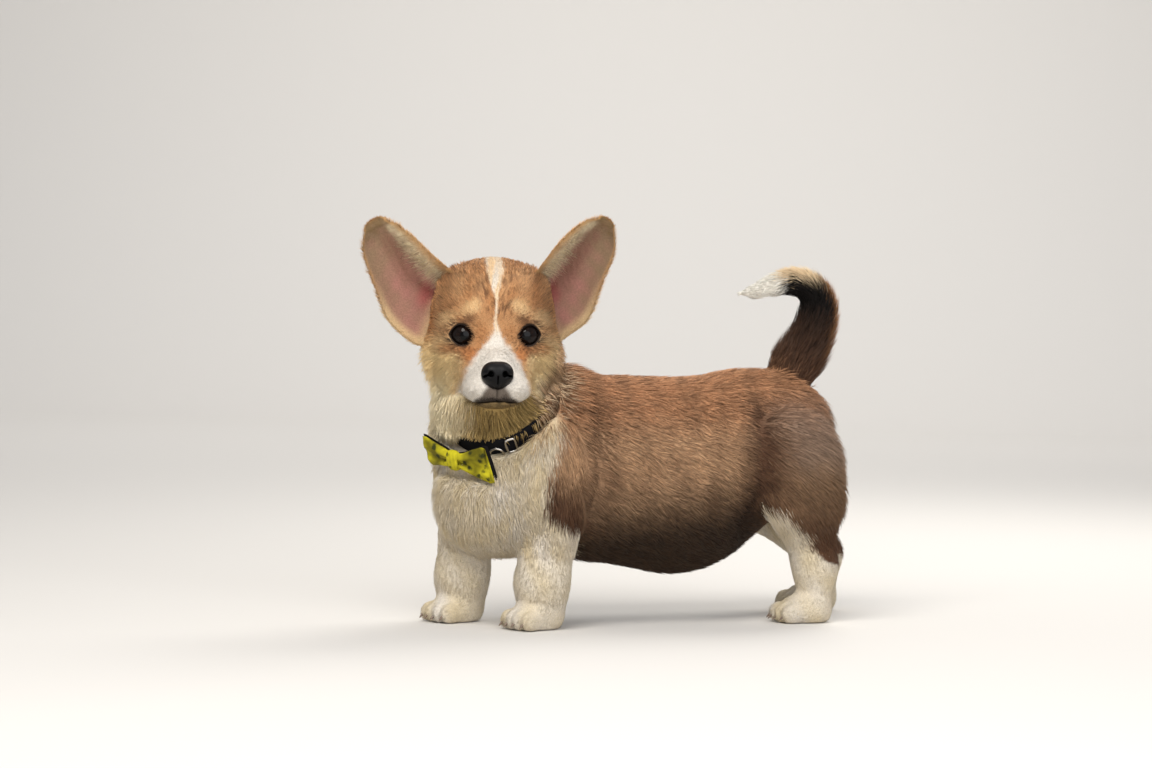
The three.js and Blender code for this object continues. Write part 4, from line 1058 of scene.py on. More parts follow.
def add_tufts(name, slot, roots, chart, bent=True, clump=0.3, stray=0.16, drift=0.2, droop=0.6, seed=1):
    """One tapered blade on each root, gathered a little in clumps. Its lift off the skin is in degrees."""
    root, normal, lie, length, width, lift, colour, tip = roots
    rng = np.random.default_rng(seed)
    n = len(root)
    swirl = np.stack([wave(root, 17, seed * 10 + k) for k in range(3)], -1)
    lie = unit(lie) + stray * rng.normal(size=(n, 3)) + drift * swirl
    lie = unit(lie - normal * (lie * normal).sum(1, keepdims=True))
    side = np.cross(normal, lie)
    length = length * rng.uniform(0.7, 1.25, n)
    angle = np.radians(lift * rng.uniform(0.6, 1.5, n))

    def way(angle):
        return lie * np.cos(angle)[:, None] + normal * np.sin(angle)[:, None]

    middle = root + way(angle) * (length * BEND)[:, None]
    end = middle + way(angle * (1 - droop)) * (length * (1 - BEND))[:, None]
    centres = rng.choice(n, max(n // CLUMP_SIZE, 1), replace=False)
    tree = KDTree(len(centres))
    for i, c in enumerate(root[centres]):
        tree.insert(c, i)
    tree.balance()
    nearest = centres[np.array([tree.find(c)[1] for c in root])]
    pull = (end[nearest] - end) * clump
    pull -= normal * (pull * normal).sum(1, keepdims=True) * 0.7
    far = np.linalg.norm(pull, axis=1, keepdims=True)
    pull *= np.minimum(1, 0.4 * length[:, None] / np.maximum(far, 1e-6))
    end = end + pull
    middle, end = clear_of_collar(middle + pull * 0.3), clear_of_collar(end)
    half = (width * rng.uniform(0.75, 1.3, n) / 2)[:, None]
    base = root - normal * SINK
    ring = [base + side * half, base - side * half, base + normal * half * 0.8]
    if bent:
        ring += [middle + side * half * 0.85, middle - side * half * 0.85, middle + normal * half * 0.7]
    points = np.maximum(np.stack([*ring, end], 1), [-1e4, -1e4, 0.2])
    each = points.shape[1]
    start = each * np.arange(n)[:, None]
    faces = [np.concatenate([start + k for k in kind]) for kind in (BENT if bent else STRAIGHT) if kind]
    vary = 0.3 + 0.7 * smooth(0.7, 0.32, colour.mean(1))[:, None]
    shade = 1 + vary * (rng.uniform(-0.16, 0.14, (n, 1)) + 0.06 * wave(root, 6, seed + 70)[:, None])
    # painted shade: each blade is darker at its root, as if shaded deep in the coat; the rest of its tone
    # varies at random
    shaded_root, at_middle, at_tip = colour * shade * (1 - 0.3 * vary), colour * shade, tip * shade
    colours = [shaded_root] * 3 + [at_middle] * 3 * bent + [at_tip]
    colours = np.clip(np.stack(colours, 1).reshape(-1, 3), 0, 1)
    corner = CORNERS if bent else CORNERS[[0, 1, 2, 6]]
    uv = ((0.01 + 0.98 * np.clip(chart, 0, 1))[:, None] + corner[None]).reshape(-1, 2)
    made = make_mesh(name, points.reshape(-1, 3), faces, fur_material, colours, uv)
    tuft_pieces.append(made)


def round_chart(p, middle, axis, up, low, high):
    """An unwrap round an axis: the angle about it, and the place along it."""
    axis = unit(np.array(axis, float))
    up = unit(np.array(up, float) - axis * (np.array(up, float) @ axis))
    q = p - np.array(middle, float)
    u = np.arctan2(q @ np.cross(axis, up), q @ up) / (2 * math.pi) + 0.5
    return np.stack([u, (q @ axis - low) / (high - low)], -1)


SCALE = 1.0
# Tufts a square millimetre
DENSITY = {"head": 0.9, "neck": 0.6, "trunk": 0.48, "leg": 0.74, "tail": 1.02, "face": 2.4, "ear": 1.1}
collar_axis = COLLAR_FRAME[:3, 2]


def beside_face(p):
    """One where the ruff stands out on both sides of the face."""
    across = into(HEAD_FRAME, p)[:, 1]
    return np.maximum(smooth(22, 36, across), smooth(-22, -31, across))


def body_density(p):
    part = part_of(p)
    leg = (part > TRUNK) & (part < TAIL)
    rate = np.full(len(p), DENSITY["trunk"])
    rate[part == HEAD] = DENSITY["head"]
    rate[part == NECK_PART] = DENSITY["neck"]
    rate[leg] = DENSITY["leg"] + (DENSITY["trunk"] - DENSITY["leg"]) * smooth(84, 112, p[leg, 2])
    rate[part == TAIL] = DENSITY["tail"] * (1 + smooth(-90, -78, p[part == TAIL, 0]))
    rate *= 1 + 0.5 * smooth(100, 150, p[:, 0]) * (part == TRUNK)
    rate *= 1 + 0.8 * smooth(40, 14, p[:, 2]) * (part > TRUNK)
    # none on the soles, under the collar and the bow, or where the finely drawn face is
    rate[p[:, 2] < 1.2] = 0
    q = into(HEAD_FRAME, p)
    rate[(face_depth(q) > 0) & ((part == HEAD) | (head_shape(q.astype(np.float32)) < 0.5))] = 0
    out, above = at_collar(p)
    rate[(np.abs(above) < COLLAR["wide"] / 2 + 0.5) & (out < COLLAR["radius"] + 3)] = 0
    above = above - COLLAR["wide"] / 2
    rate *= 1 + 1.5 * beside_face(p) * ((above > 0) & (above < 9) & (out < COLLAR["radius"] + 8))
    q = into(BOW_FRAME, p)
    rate[(np.abs(q[:, 1]) < 36) & (np.abs(q[:, 2]) < 15) & (q[:, 0] > -9)] = 0
    return rate * SCALE


spot, normal = roots_on(body_points, body_quads, body_density, RNG)
part = part_of(spot)
colour = colour_of(spot + RNG.normal(size=spot.shape) * np.where(part == HEAD, 0.7, 2.6)[:, None], part)


# Each of the next functions gives the way the coat lies on one part, and its length, width and lift


def head_hair(p, n):
    q = into(HEAD_FRAME, p)
    falls = np.maximum(smooth(6, -14, q[:, 2]), smooth(-46, -66, q[:, 0]))
    root = smooth(18, 28, np.abs(q[:, 1])) * smooth(28, 38, q[:, 2]) * smooth(-34, -24, q[:, 0])
    lie = unit(q - np.array([46, 0, -18])) + np.array([-0.1, 0, -0.8]) * falls[:, None]
    lie = lie + np.stack([0.2 * root, 0.5 * np.sign(q[:, 1]) * root, 0.5 * root], -1)
    back, low = smooth(-10, -50, q[:, 0]), smooth(0, -30, q[:, 2])
    jowl = smooth(30, 46, np.abs(q[:, 1])) * smooth(6, -16, q[:, 2])
    length = 5 + 4 * back + 5 * low + 4 * jowl + 4 * root
    return lie @ HEAD_FRAME[:3, :3].T, length, 0.42 + 0.1 * back, 15 + 6 * low + 14 * jowl + 8 * root


def neck_hair(p, n):
    out, above = at_collar(p)
    above = above - COLLAR["wide"] / 2
    lie = -collar_axis + np.array([-0.9, -0.1, 0.3]) * smooth(150, 120, p[:, 0])[:, None]
    near = (above > 0) * (out < COLLAR["radius"] + 8)
    over_collar = smooth(9, 2, above) * (above > 0) * (out < COLLAR["radius"] + 6)
    ruff = beside_face(p)
    length = np.where(near, np.clip(0.5 + 0.78 * above, 1.6, 13) * (1 - ruff) + 16 * ruff, 13)
    return lie, length, 0.52 + 0.1 * ruff * near, 16 + 12 * over_collar * ruff


def trunk_hair(p, n):
    x, y, z = p.T
    front = smooth(92, 146, x)
    flank = smooth(0.2, 0.9, np.abs(n[:, 1]))[:, None]
    lie = np.array([-1.0, 0, -0.1]) + np.array([0, 0, -0.5]) * flank
    lie = lie * (1 - front[:, None]) + np.array([-0.3, -0.05, -1.0]) * front[:, None]
    nape = smooth(60, 110, x) * smooth(150, 176, z)
    rump = smooth(-78, -100, x) * smooth(140, 165, z) * smooth(34, 12, np.abs(y))
    length = 12 + 2 * front + 4 * nape + 4 * rump
    return lie, length, 0.56 - 0.08 * front, 13 + front + 11 * nape + 9 * rump


def tail_hair(p, n):
    t, run, _ = tail_place(p)
    length = np.interp(t, [0, 0.3, 0.75, 1], [19, 14, 10, 6])
    return run, length, 0.52, np.interp(t, [0, 0.25, 0.6, 0.8, 1], [34, 26, 24, 14, 7])


def foot_lie(name, p, back):
    """Down the leg, and forward over the toes."""
    toe = PAWS[name][:3, 0] * 0.8 + np.array([0, 0, -0.5])
    low = smooth(30, 14, p[:, 2])[:, None]
    return np.array([back, 0, -1.0]) * (1 - low) + toe * low


def fore_hair(name, p, n):
    high = smooth(40, 100, p[:, 2])
    return foot_lie(name, p, 0), 3.6 + 1.6 * smooth(14, 30, p[:, 2]) + 7 * high, 0.37 + 0.13 * high, 11


def hind_hair(name, p, n):
    high, top = smooth(40, 100, p[:, 2]), smooth(92, 138, p[:, 2])[:, None]
    rear = smooth(0.2, 0.9, -n[:, 0])
    lie = foot_lie(name, p, -0.2) + np.array([-0.7, 0, 0]) * high[:, None]
    lie = lie * (1 - top) + np.array([-1.0, 0, -0.6]) * top
    return lie, 3.6 + 8.5 * high + 3 * rear * high, 0.38 + 0.16 * high, 11 + 6 * rear


def strands(p, base, rng, dark_share):
    """Sable hair is light in the middle and dark at some tips; white hair stays white."""
    sable = smooth(0.62, 0.3, base.mean(1))[:, None]
    pick = rng.random((len(p), 1))
    dark, light = pick < dark_share, pick > 0.72
    own = base * np.where(dark, 0.62, np.where(light, 1.22, 1.0)) * sable + base * (1 - sable)
    tip = own * np.where(dark, 0.6, 1.16) * sable + base * 1.06 * (1 - sable)
    return own, tip


def coat(piece, slot, hair, here, chart, seed, **form):
    """One piece of the body's coat. hair is the function of its part, here the places it takes."""
    p, n = spot[here], normal[here]
    nape = smooth(60, 110, p[:, 0])[:, None] * smooth(150, 176, p[:, 2])[:, None]
    own, tip = strands(p, colour[here], RNG, 0.14 + 0.3 * nape)
    add_tufts(piece, slot, (p, n, *hair(p, n), own, tip), round_chart(p, *chart), seed=seed, **form)


back_of_head = HEAD_FRAME[:3, 3] - HEAD_FRAME[:3, 0] * 30
round_head = (back_of_head, [0, 0, 1], HEAD_FRAME[:3, 0], -75, 75)
round_neck = (COLLAR["at"], collar_axis, [-1, 0, 1], -60, 60)
along_body = ([0, 0, 120], [1, 0, 0], [0, 0, -1], -150, 215)
coat("coat_head", "face_coat", head_hair, part == HEAD, round_head, 3, clump=0.35)
coat("coat_neck", "white_coat", neck_hair, part == NECK_PART, round_neck, 4, clump=0.16, stray=0.12)
x, left = spot[:, 0], spot[:, 1] > 0
CHEST_FROM, RIB_FROM = 96, 10
for k, (side, on_side) in enumerate((("left", left), ("right", ~left))):
    half = (part == TRUNK) & on_side
    chest, flank = half & (x > CHEST_FROM), half & (x <= RIB_FROM)
    coat(f"coat_chest_{side}", "white_coat", trunk_hair, chest, along_body, 5 + k, clump=0.18, stray=0.12)
    coat(f"coat_rib_{side}", "body_coat", trunk_hair, half & ~chest & ~flank, along_body, 7 + k)
    coat(f"coat_flank_{side}", "body_coat", trunk_hair, flank, along_body, 9 + k)
along_tail = ([-110, 0, 240], [0.2, 0, 1], [-1, 0, 0], -90, 60)
coat("coat_tail", "tail_coat", tail_hair, part == TAIL, along_tail, 11)
high = spot[:, 2] > 60
for index in range(TRUNK + 1, TAIL):
    name = PARTS[index]
    hair = partial(fore_hair if name.startswith("fore") else hind_hair, name)
    chart = (PAWS[name][:3, 3], [0, 0, 1], [-1, 0, 0], 0, 175)
    loose = {"clump": 0.14, "stray": 0.12, "drift": 0.14}
    coat(f"coat_{name}", "white_coat", hair, (part == index) & high, chart, 9 + index, **loose)
    low = (part == index) & ~high
    coat(f"coat_{name}_low", "white_coat", hair, low, chart, 19 + index, bent=False, **loose)

# The coat of the face, shortest on the muzzle


def face_density(p):
    q = into(HEAD_FRAME, p)
    rate = np.full(len(p), DENSITY["face"])
    rate[face_depth(q) < 1.0] = 0
    for sign in (1, -1):
        e = into(eye_frame(sign), p)
        rate[np.linalg.norm(e, axis=1) < EYE["radius"] + 0.9] = 0
        rate[(eye_opening(e, sign) < 0.9) & (e[:, 0] > 3)] = 0
    rate[blend(5, lumps(NOSE))(q.astype(np.float32)) < 1.6] = 0
    return rate * SCALE


def face_hair(q):
    """The way the hair lies, and its length, width and lift, at places in the head's frame."""
    x, y, z = q.T
    side = np.abs(y)
    down = (smooth(-4, -20, z) * smooth(6, 20, side))[:, None]
    lie = unit(q - np.array([50, 0, -20])) + np.array([-0.2, 0, -0.9]) * down
    ahead, outer = smooth(-6, 24, x), smooth(24, 42, side)
    low = np.maximum(smooth(-50, -62, z) * smooth(34, 16, x), smooth(-34, -50, z) * smooth(22, 8, x))
    chin = smooth(-50.5, -52.5, z) * smooth(44, 34, x)
    crown = smooth(18, 28, side) * smooth(28, 38, z) * smooth(2, -12, x)
    length = 5.4 - 2.9 * ahead + 3 * outer + 4 * outer * smooth(0, -20, z) + 6 * low
    length = length + 2.6 * chin * (1 - low) + 4 * crown
    return lie @ HEAD_FRAME[:3, :3].T, length, 0.38 + 0.1 * outer, 14 - 3 * ahead + 8 * outer


p, n = roots_on(face_points, face_quads, face_density, RNG)
q = into(HEAD_FRAME, p)
roots = (p, n, *face_hair(q), *strands(p, face_colour(q), RNG, 0.16))
chart = round_chart(q, [-10, 0, -10], [0, 0, 1], [-1, 0, 0], -62, 60)
add_tufts("coat_face", "face_coat", roots, chart, bent=False, stray=0.11, drift=0.12, seed=31)

# The coat of the ears: short outside, thin inside, with long pale hair from the inner edge and a soft rim


def ear_roots(sheet, sign, front, rng):
    """Roots of hair on one face of an ear, and their places on the unwrap."""
    rows, columns = sheet["t"].shape
    points = sheet["front" if front else "back"].reshape(-1, 3)
    triangles, area = triangles_of(points, grid_faces(rows, columns))
    s, t = (sheet[key].reshape(-1)[triangles].mean(1) for key in "st")
    edge = np.minimum(np.minimum(s, 1 - s), (1 - t) * 1.5)
    rate = DENSITY["ear"]
    if front:
        rate = 0.8 + 1.4 * smooth(0.16, 0.03, edge) + 0.7 * smooth(0.3, 0.08, s)
    corners, shares = scattered(triangles, area * rate * SCALE, rng)
    p = (points[corners] * shares[..., None]).sum(1)
    s, t = ((sheet[key].reshape(-1)[corners] * shares).sum(1) for key in "st")
    away = sheet["out"].reshape(-1, 3)[corners[:, 0]] * (1 if front else -1)
    up = sheet["up"][np.clip((t * (rows - 1)).astype(int), 0, rows - 1)]
    across = sheet["across"].reshape(-1, 3)[corners[:, 0]]
    rim = smooth(0.13, 0.0, np.minimum(s, 1 - s))
    outward = across * np.where(s < 0.5, -1, 1)[:, None]
    shade = ear_colour(p, t, s, front)
    if front:
        fringe = smooth(0.3, 0.2, s) * smooth(0.03, 0.08, s) * smooth(0.75, 0.5, t)
        fringe = fringe * (rng.random(len(p)) < 0.4)
        lie = up * (1 - 0.5 * fringe)[:, None] + across * (1.2 * fringe)[:, None]
        lie = lie + outward * (0.5 * rim * (1 - fringe))[:, None]
        length = 3.0 + 12 * fringe * rng.uniform(0.2, 1, len(p))
        length = length + 1.8 * rim * smooth(0.8, 0.5, t) - 1.2 * smooth(0.88, 0.96, t)
        lift = 9 + 14 * fringe + 8 * rim * smooth(0.95, 0.8, t)
        shade = mix(shade, EAR_CREAM, 0.9 * fringe)
    else:
        lie = up + outward * (0.45 * rim)[:, None]
        length = 4.2 + 1.2 * rim * smooth(0.8, 0.5, t) - 2.2 * smooth(0.86, 0.96, t)
        lift = np.full(len(p), 12.0)
    chart = np.stack([0.25 * s + 0.25 * front + 0.5 * (sign > 0), t], -1)
    axes = HEAD_FRAME[:3, :3].T
    width = np.full(len(p), 0.36)
    return out_of(HEAD_FRAME, p), away @ axes, lie @ axes, length, width, lift, shade, shade * 1.12, chart


found = [ear_roots(sheet, sign, front, RNG) for sign, sheet in EARS.items() for front in (True, False)]
*roots, chart = [np.concatenate(column) for column in zip(*found)]
add_tufts("coat_ears", "ear_coat", roots, chart, bent=False, clump=0.22, seed=41)

# Eyes, nose and claws

EYE_FILM, IRIS, PUPIL = paint(20, 14, 12), paint(27, 16, 11), paint(3, 2, 2)
IRIS_RAYS = 40
eye_material, tree, shader = new_material("eye", 0.03, IOR=1.27)
tree.links.new(mesh_colour(tree), shader.inputs["Base Color"])
theta, phi = np.meshgrid(np.linspace(0.001, math.pi - 0.001, 40), turns(48), indexing="ij")
cornea = 1 + 0.035 * smooth(0.80, 0.95, np.cos(theta))
ball = np.stack([np.cos(theta) * cornea, np.sin(theta) * np.cos(phi), np.sin(theta) * np.sin(phi)], -1)
ball = ball.reshape(-1, 3) * (EYE["radius"] - 0.05)
shade = mix(PUPIL, IRIS, smooth(0.30, 0.38, theta) * (0.75 + 0.25 * np.sin(IRIS_RAYS * phi)))
shade = mix(shade, EYE_FILM, smooth(0.68, 0.78, theta)).reshape(-1, 3)
for side, sign in SIDES.items():
    gaze = turned([0, 0, 0], -sign * (EYE["out"] - 3), 2)
    points = out_of(eye_frame(sign), out_of(gaze, ball))
    eye = make_mesh(f"eyeball_{side}", points, [grid_faces(*theta.shape, True)], eye_material, shade)
    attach(eye, "root")
    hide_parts(f"eye_{side}")


def nose_field(p):
    """The nose with its nostrils, their slits and the groove between them."""
    d = blend(5, lumps(NOSE))(p)
    for sign in (1, -1):
        hole = lump([48.6, SNOUT + sign * 5.1, -28.6], [5, 2.1, 2.3], (sign * 24, 0, 0))(p)
        slit = lump([45.5, SNOUT + sign * 8.6, -30.2], [5, 3.0, 1.0], (sign * 44, 0, sign * -14))(p)
        d = soft_max(soft_max(d, -hole, 1.6), -slit, 1.4)
    groove = np.maximum(np.abs(p[:, 1] - SNOUT) - 0.25, p[:, 2] + 30)
    return soft_max(d, -np.maximum(groove, 47 - p[:, 0]), 1.2)


nose_material, tree, shader = new_material("nose", 0.42, Specular_IOR_Level=0.16)
pebbles = texture(tree, "Voronoi", 1150.0, "Distance")
pebbles.node.feature = "SMOOTH_F1"
add_bump(tree, shader, pebbles, 0.55, 0.25)
tree.links.new(mesh_colour(tree), shader.inputs["Base Color"])
nose_grid = Grid([26, -17, -48], [56, 15, -16], 0.5)
nose_grid.fill(nose_field)
p, f = nose_grid.surface()
# painted light and shade: the leather is lighter on top and darker underneath
shade = mix(paint(20, 19, 21), paint(7, 6, 7), smooth(-21, -27, p[:, 2]))
nose = make_mesh("nose_leather", out_of(HEAD_FRAME, p), [f], nose_material, shade)
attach(nose, "root")
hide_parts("nose")

CLAW = {"long": 6.2, "thick": 1.45, "drop": 2.2, "ahead": 7.4, "high": 6.4, "tip": 18}
claw_material, tree, shader = new_material("claw", 0.35, Base_Color=(*paint(120, 100, 84), 1))
add_bump(tree, shader, texture(tree, "Noise", 500.0), 0.3, 0.1)
t, angle = np.meshgrid(np.linspace(0, 1, 7), turns(8), indexing="ij")
thick = CLAW["thick"] * (1 - t) ** 0.7 + 0.05
rise = 1.1 * thick * np.sin(angle) - CLAW["drop"] * t**2
claw = np.stack([CLAW["long"] * t, thick * np.cos(angle), rise], -1)
on_toes = [turned([toe_ahead(y) + CLAW["ahead"], y, CLAW["high"]], 0, CLAW["tip"]) for y in TOES]
claw_roots = [base @ on_toe for base in PAWS.values() for on_toe in on_toes]
points = np.vstack([out_of(root, claw.reshape(-1, 3)) for root in claw_roots])
faces = np.vstack([grid_faces(*t.shape, True)[:, ::-1] + k * t.size for k in range(len(claw_roots))])
claws = make_mesh("claws", points, [faces], claw_material)
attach(claws, "root")

# The collar, its buckle and ring

RING = {"radius": 5.5, "wire": 0.95}
BUCKLE = {"half_wide": 3.9, "half_high": 6.4, "wire": 1.1}


def ring_mesh(name, centres, outward, up, outline, base, material):
    """A closed ring: an outline, its points given by how far out and up they are, round a loop of centres."""
    q = centres[:, None] + outward[:, None] * outline[None, :, :1] + np.array(up) * outline[None, :, 1:]
    faces = grid_faces(len(centres), len(outline), True, True)[:, ::-1]
    return make_mesh(name, out_of(base, q.reshape(-1, 3)), [faces], material)


def hoop_mesh(name, radius, steps, outline, base, material):
    """A ring whose centres lie on a circle about Z."""
    angle = turns(steps)
    outward = np.stack([np.cos(angle), np.sin(angle), 0 * angle], -1)
    return ring_mesh(name, radius * outward, outward, [0.0, 0, 1], outline, base, material)


def rounded(half_out, half_up, sides, power):
    """An outline between an oval, at power 1, and a box, at power 0."""
    angle = turns(sides)
    return np.stack([powered(np.cos(angle), power) * half_out, powered(np.sin(angle), power) * half_up], -1)


def on_collar(angle, out, up):
    """A frame on the collar's face, with X out of it."""
    return COLLAR_FRAME @ turned([0, 0, 0], angle) @ turned([COLLAR["radius"] + COLLAR["thick"] + out, 0, up])


web_material, tree, shader = new_material("webbing", 0.85, Specular_IOR_Level=0.12)
shade = blended(tree, texture(tree, "Noise", 1500.0), (0.004, 0.004, 0.005), (0.014, 0.014, 0.017))
tree.links.new(shade, shader.inputs["Base Color"])
add_bump(tree, shader, texture(tree, "Wave", 420.0, Distortion=1.5, Detail=2.0), 0.7, 0.35)
outline = rounded(COLLAR["thick"] / 2, COLLAR["wide"] / 2, 24, 0.3) + [COLLAR["thick"] / 2, 0]
collar = hoop_mesh("collar_band", COLLAR["radius"], 144, outline, COLLAR_FRAME, web_material)
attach(collar, "root")
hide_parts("collar")

metal_material, tree, shader = new_material(
    "metal", 0.22, Metallic=1.0, Base_Color=(*paint(205, 200, 192), 1)
)
add_bump(tree, shader, texture(tree, "Noise", 700.0), 0.15, 0.1)
wire = rounded(RING["wire"], RING["wire"], 12, 1)
hanging = on_collar(14, 1.5, -RING["radius"]) @ turned([0, 0, 0], 0, 90)
tag_ring = hoop_mesh("ring", RING["radius"], 48, wire, hanging, metal_material)
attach(tag_ring, "root")
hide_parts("tag_ring")
path = np.pad(rounded(BUCKLE["half_wide"], BUCKLE["half_high"], 64, 0.45), ((0, 0), (1, 0)))
wire = rounded(BUCKLE["wire"], BUCKLE["wire"], 12, 1)
buckle = ring_mesh("buckle_frame", path, unit(path), [1.0, 0, 0], wire, on_collar(31, 1.8, 0), metal_material)
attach(buckle, "root")
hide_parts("buckle")

# The bow

WING_STATIONS = [0.12, 0.3, 0.6, 0.9, 1]  # shares of a wing's length
CENTRE_CREASE, SIDE_CREASES = -0.12, (0.62, -0.7)  # shares of its half height
KNOT = [4.2, 5.9, 8.4]  # half sizes


def cloth_material(name, ground, motif, size):
    """Plain weave in two mottled tones, with small dark sprigs, size of them a metre, times the painted shade
    that the mesh carries.
    """
    material, tree, shader = new_material(name, 0.8, Specular_IOR_Level=0.2)
    spread = texture(tree, "Noise", 260.0, "Color", Detail=2.0)
    bend = node(tree, "VectorMath", {0: spread, "Scale": 0.005}, operation="SCALE")
    place = node(tree, "TexCoord").outputs["Object"]
    moved = node(tree, "VectorMath", {0: place, 1: bend.outputs["Vector"]}, operation="ADD")
    cells = node(tree, "TexVoronoi", {"Vector": moved.outputs["Vector"], "Scale": size})
    sprig = mapped(tree, cells.outputs["Distance"], (0.2, 0.38))
    bare = mapped(tree, cells.outputs["Color"], (0.7, 0.72))
    clear = node(tree, "Math", {0: sprig, 1: bare}, operation="MAXIMUM")
    tone = blended(tree, mapped(tree, texture(tree, "Noise", 60.0), (0.4, 0.6)), *ground)
    shade = blended(tree, clear.outputs["Value"], motif, tone)
    # the mesh's colour is painted shade, darker in the folds
    folds = node(tree, "VectorMath", {0: shade, 1: mesh_colour(tree)}, operation="MULTIPLY")
    tree.links.new(folds.outputs["Vector"], shader.inputs["Base Color"])
    add_bump(tree, shader, texture(tree, "Noise", 2600.0), 0.5, 0.15)
    return material


def wing_points(sign, grow, shift, rows=30, columns=40):
    """A puffed wing with folds that run out from the knot, and painted shade for its cloth, darker in the
    creases.
    """
    t = np.linspace(WING_STATIONS[0], 1, rows)[:, None]
    pinch, end = BOW["pinch"], BOW_HIGH[sign]
    high = np.interp(t, WING_STATIONS, [pinch, pinch * 1.25, end * 0.78, end, end * 0.97]) + grow
    puff = np.interp(t, WING_STATIONS, [0.8, 1, 0.9, 0.62, 0.3]) * BOW["thick"] / 2
    angle = turns(columns)[None, :]
    rise, front = powered(np.sin(angle), 0.8), powered(np.cos(angle), 0.7)
    face, off_centre = np.maximum(front, 0), rise - CENTRE_CREASE
    crease = np.exp(-((off_centre / 0.1) ** 2)) * smooth(1.1, 0.75, t)
    side_creases = sum(np.exp(-(((rise - at * t) / 0.13) ** 2)) for at in SIDE_CREASES) * smooth(0.95, 0.3, t)
    bulge = puff * front + 1.5 * face * np.sin(off_centre * 3.1) ** 2 * smooth(0.1, 0.5, t)
    x = bulge - face * (2.8 * crease + 1.7 * side_creases) - BOW["sweep"] * BOW["wing"] * t + shift
    z = rise * high
    y = sign * BOW["wing"] * t + BOW["lean"] * z * t
    # painted shade in the creases; the front wing is also darker on its upper half
    dark = 0.75 * crease + 0.45 * side_creases
    if sign > 0:
        dark = dark + 0.3 * smooth(-0.15, 0.3, rise) * smooth(0.2, 0.4, t)
    return np.stack([x, y, z], -1), 1 - np.minimum(dark * (front > 0), 0.8)


def tube(points, shade=1.0):
    """A closed skin on rows of points, facing outwards, with its ends filled, and its colours."""
    rows, columns = points.shape[:2]
    n = rows * columns
    flat = np.vstack([points.reshape(-1, 3), points[0].mean(0), points[-1].mean(0)])
    colours = np.ones((n + 2, 3))
    colours[:n] *= np.broadcast_to(shade, (rows, columns)).reshape(-1, 1)
    i = np.arange(columns)
    k = (i + 1) % columns
    near = np.stack([k, i, 0 * i + n], -1)
    far = np.stack([n - columns + i, n - columns + k, 0 * i + n + 1], -1)
    faces = [grid_faces(rows, columns, True)[:, ::-1], np.vstack([near, far])]
    a, b, c = (flat[faces[0][:, corner]] for corner in range(3))
    if (np.cross(b - a, c - a) * (a - flat.mean(0))).sum() < 0:
        faces = [f[:, ::-1] for f in faces]
    return flat, faces, colours


def bow_piece(name, points, material, shade=1.0):
    q, faces, colours = tube(points, shade)
    made = make_mesh(name, out_of(BOW_FRAME, q), faces, material, colours)
    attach(made, "root")
    return made


print_tones, lining_tones = (paint(192, 182, 32), paint(112, 104, 16)), (paint(26, 22, 24), paint(16, 14, 16))
bow_material = cloth_material("bow_print", print_tones, paint(56, 60, 18), 125.0)
lining_material = cloth_material("bow_lining", lining_tones, paint(10, 9, 10), 90.0)
for side, sign in (("front", 1), ("back", -1)):
    q, shade = wing_points(sign, 0, 0.4)
    wing = bow_piece(f"bow_{side}", q, bow_material, shade)
    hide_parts(f"bow_wing_{side}")
    # the lining is flatter, a little longer, and lies behind the wing
    q, _ = wing_points(sign, 0.4, 0)
    swept = BOW["sweep"] * BOW["wing"] * np.linspace(WING_STATIONS[0], 1, len(q))[:, None]
    q[..., 0] = (q[..., 0] + swept) * 0.35 - swept - 2.6
    q[..., 1] *= 1.05
    bow_piece(f"bow_lining_{side}", q, lining_material)
y, angle = np.meshgrid(np.linspace(-1, 1, 20), turns(32), indexing="ij")
swell = (1 - 0.12 * y**2) * (1 - np.abs(y) ** 8 * 0.35)
x, z = powered(np.cos(angle), 0.7) * KNOT[0] * swell, powered(np.sin(angle), 0.75) * KNOT[2] * swell
x = x + 0.25 * np.sin(10 * y + 0.2 * z) * (x > 0)
knot = bow_piece("bow_middle", np.stack([x, KNOT[1] * y, z], -1), bow_material)
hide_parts("bow_knot")

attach(skin, "root")
legs = ["foreleg", "forepaw", "thigh", "shank", "hindpaw"]
flesh = ["head", "jaw", "ear_left", "ear_right", "neck", "chest", "barrel", "rump"]
flesh += ["tail_root", "tail_middle", "tail_tip"]
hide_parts(*flesh, *[f"{part_name}_{side}" for part_name in legs for side in SIDES])
for piece in tuft_pieces:
    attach(piece, "root")

# The stage: a pale floor and wall in one sweep, soft light, and the photograph's point of view

VIEW_TURN = math.radians(22)
right = np.array([-math.cos(VIEW_TURN), math.sin(VIEW_TURN), 0])
ahead = np.array([-math.sin(VIEW_TURN), -math.cos(VIEW_TURN), 0])
MIDDLE = np.array([0, 0, 150.0])
WALL = {"ahead": 4100, "bend": 900, "high": 4500, "half_wide": 9000}


def around(run, across, rise):
    """A place ahead of the model's middle, to its right and above it, as the camera sees it."""
    return MIDDLE + ahead * run + right * across + [0, 0, rise]


def looking(spot, aim, roll=0.0):
    """A frame for what looks from one place to another, turned by its roll in degrees."""
    spot, aim = metres(spot), metres(aim)
    back = unit(spot - aim)
    across = unit(np.cross([0, 0, 1], back))
    m = np.eye(4)
    m[:3, :3] = np.stack([across, np.cross(back, across), back], 1)
    m[:3, 3] = spot
    return Matrix(m) @ Matrix.Rotation(math.radians(roll), 4, "Z")


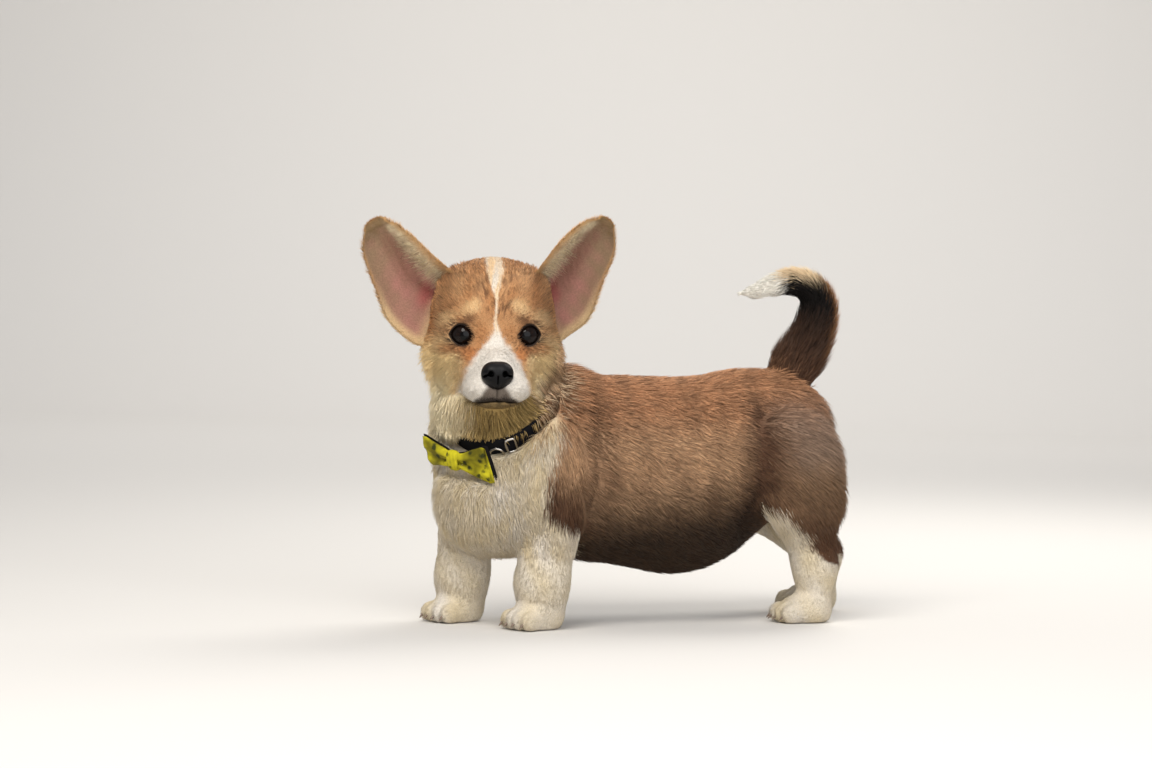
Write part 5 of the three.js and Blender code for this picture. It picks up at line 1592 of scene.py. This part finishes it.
def area_light(name, spot, aim, size, power, colour):
    data = bpy.data.lights.new(name, "AREA")
    data.shape = "DISK"
    data.size = size
    data.energy = power
    data.color = colour
    made = bpy.data.objects.new(name, data)
    bpy.context.scene.collection.objects.link(made)
    made.matrix_world = looking(spot, aim)


bend = np.linspace(0, math.pi / 2, 40)
run = np.r_[-WALL["half_wide"], WALL["ahead"] - WALL["bend"] * (1 - np.sin(bend)), WALL["ahead"]]
rise = np.r_[0, WALL["bend"] * (1 - np.cos(bend)), WALL["high"]]
columns = np.linspace(-WALL["half_wide"], WALL["half_wide"], 9)
sweep = run[:, None, None] * ahead + columns[:, None] * right + rise[:, None, None] * np.array([0, 0, 1])
stage_material, *_ = new_material("stage", 0.9, Base_Color=(0.70, 0.68, 0.65, 1))
floor = make_mesh("floor", sweep.reshape(-1, 3), [grid_faces(len(run), len(columns))], stage_material)

area_light("key", around(-1100, -450, 1450), MIDDLE, 1.0, 23, (1.0, 0.96, 0.9))
area_light("fill", around(-1500, 500, 500), MIDDLE, 1.8, 16, (0.98, 0.98, 1.0))
area_light("rim", around(900, 500, 1100), MIDDLE, 1.0, 15, (1.0, 0.97, 0.92))
area_light("backdrop", around(2400, 0, 2400), around(WALL["ahead"], 0, 700), 2.0, 48, (1.0, 0.98, 0.95))
world = bpy.data.worlds.new("sky")
world.use_nodes = True
world.node_tree.nodes["Background"].inputs["Color"].default_value = (0.95, 0.96, 1.0, 1)
world.node_tree.nodes["Background"].inputs["Strength"].default_value = 0.4
bpy.context.scene.world = world

CAMERA = {"back": 2600, "high": 280, "swing": math.radians(1.665), "dip": math.radians(2), "roll": 1.2}
camera_data = bpy.data.cameras.new("camera")
camera_data.lens = 100
camera_data.sensor_width = 36
camera_data.clip_end = 20
camera = bpy.data.objects.new("camera", camera_data)
bpy.context.scene.collection.objects.link(camera)
spot = -ahead * CAMERA["back"] + np.array([0, 0, CAMERA["high"]])
look = ahead * math.cos(CAMERA["swing"]) - right * math.sin(CAMERA["swing"]) - [0, 0, math.tan(CAMERA["dip"])]
camera.matrix_world = looking(spot, spot + look * CAMERA["back"], CAMERA["roll"])
bpy.context.scene.camera = camera
bpy.context.scene.view_settings.view_transform = "Standard"
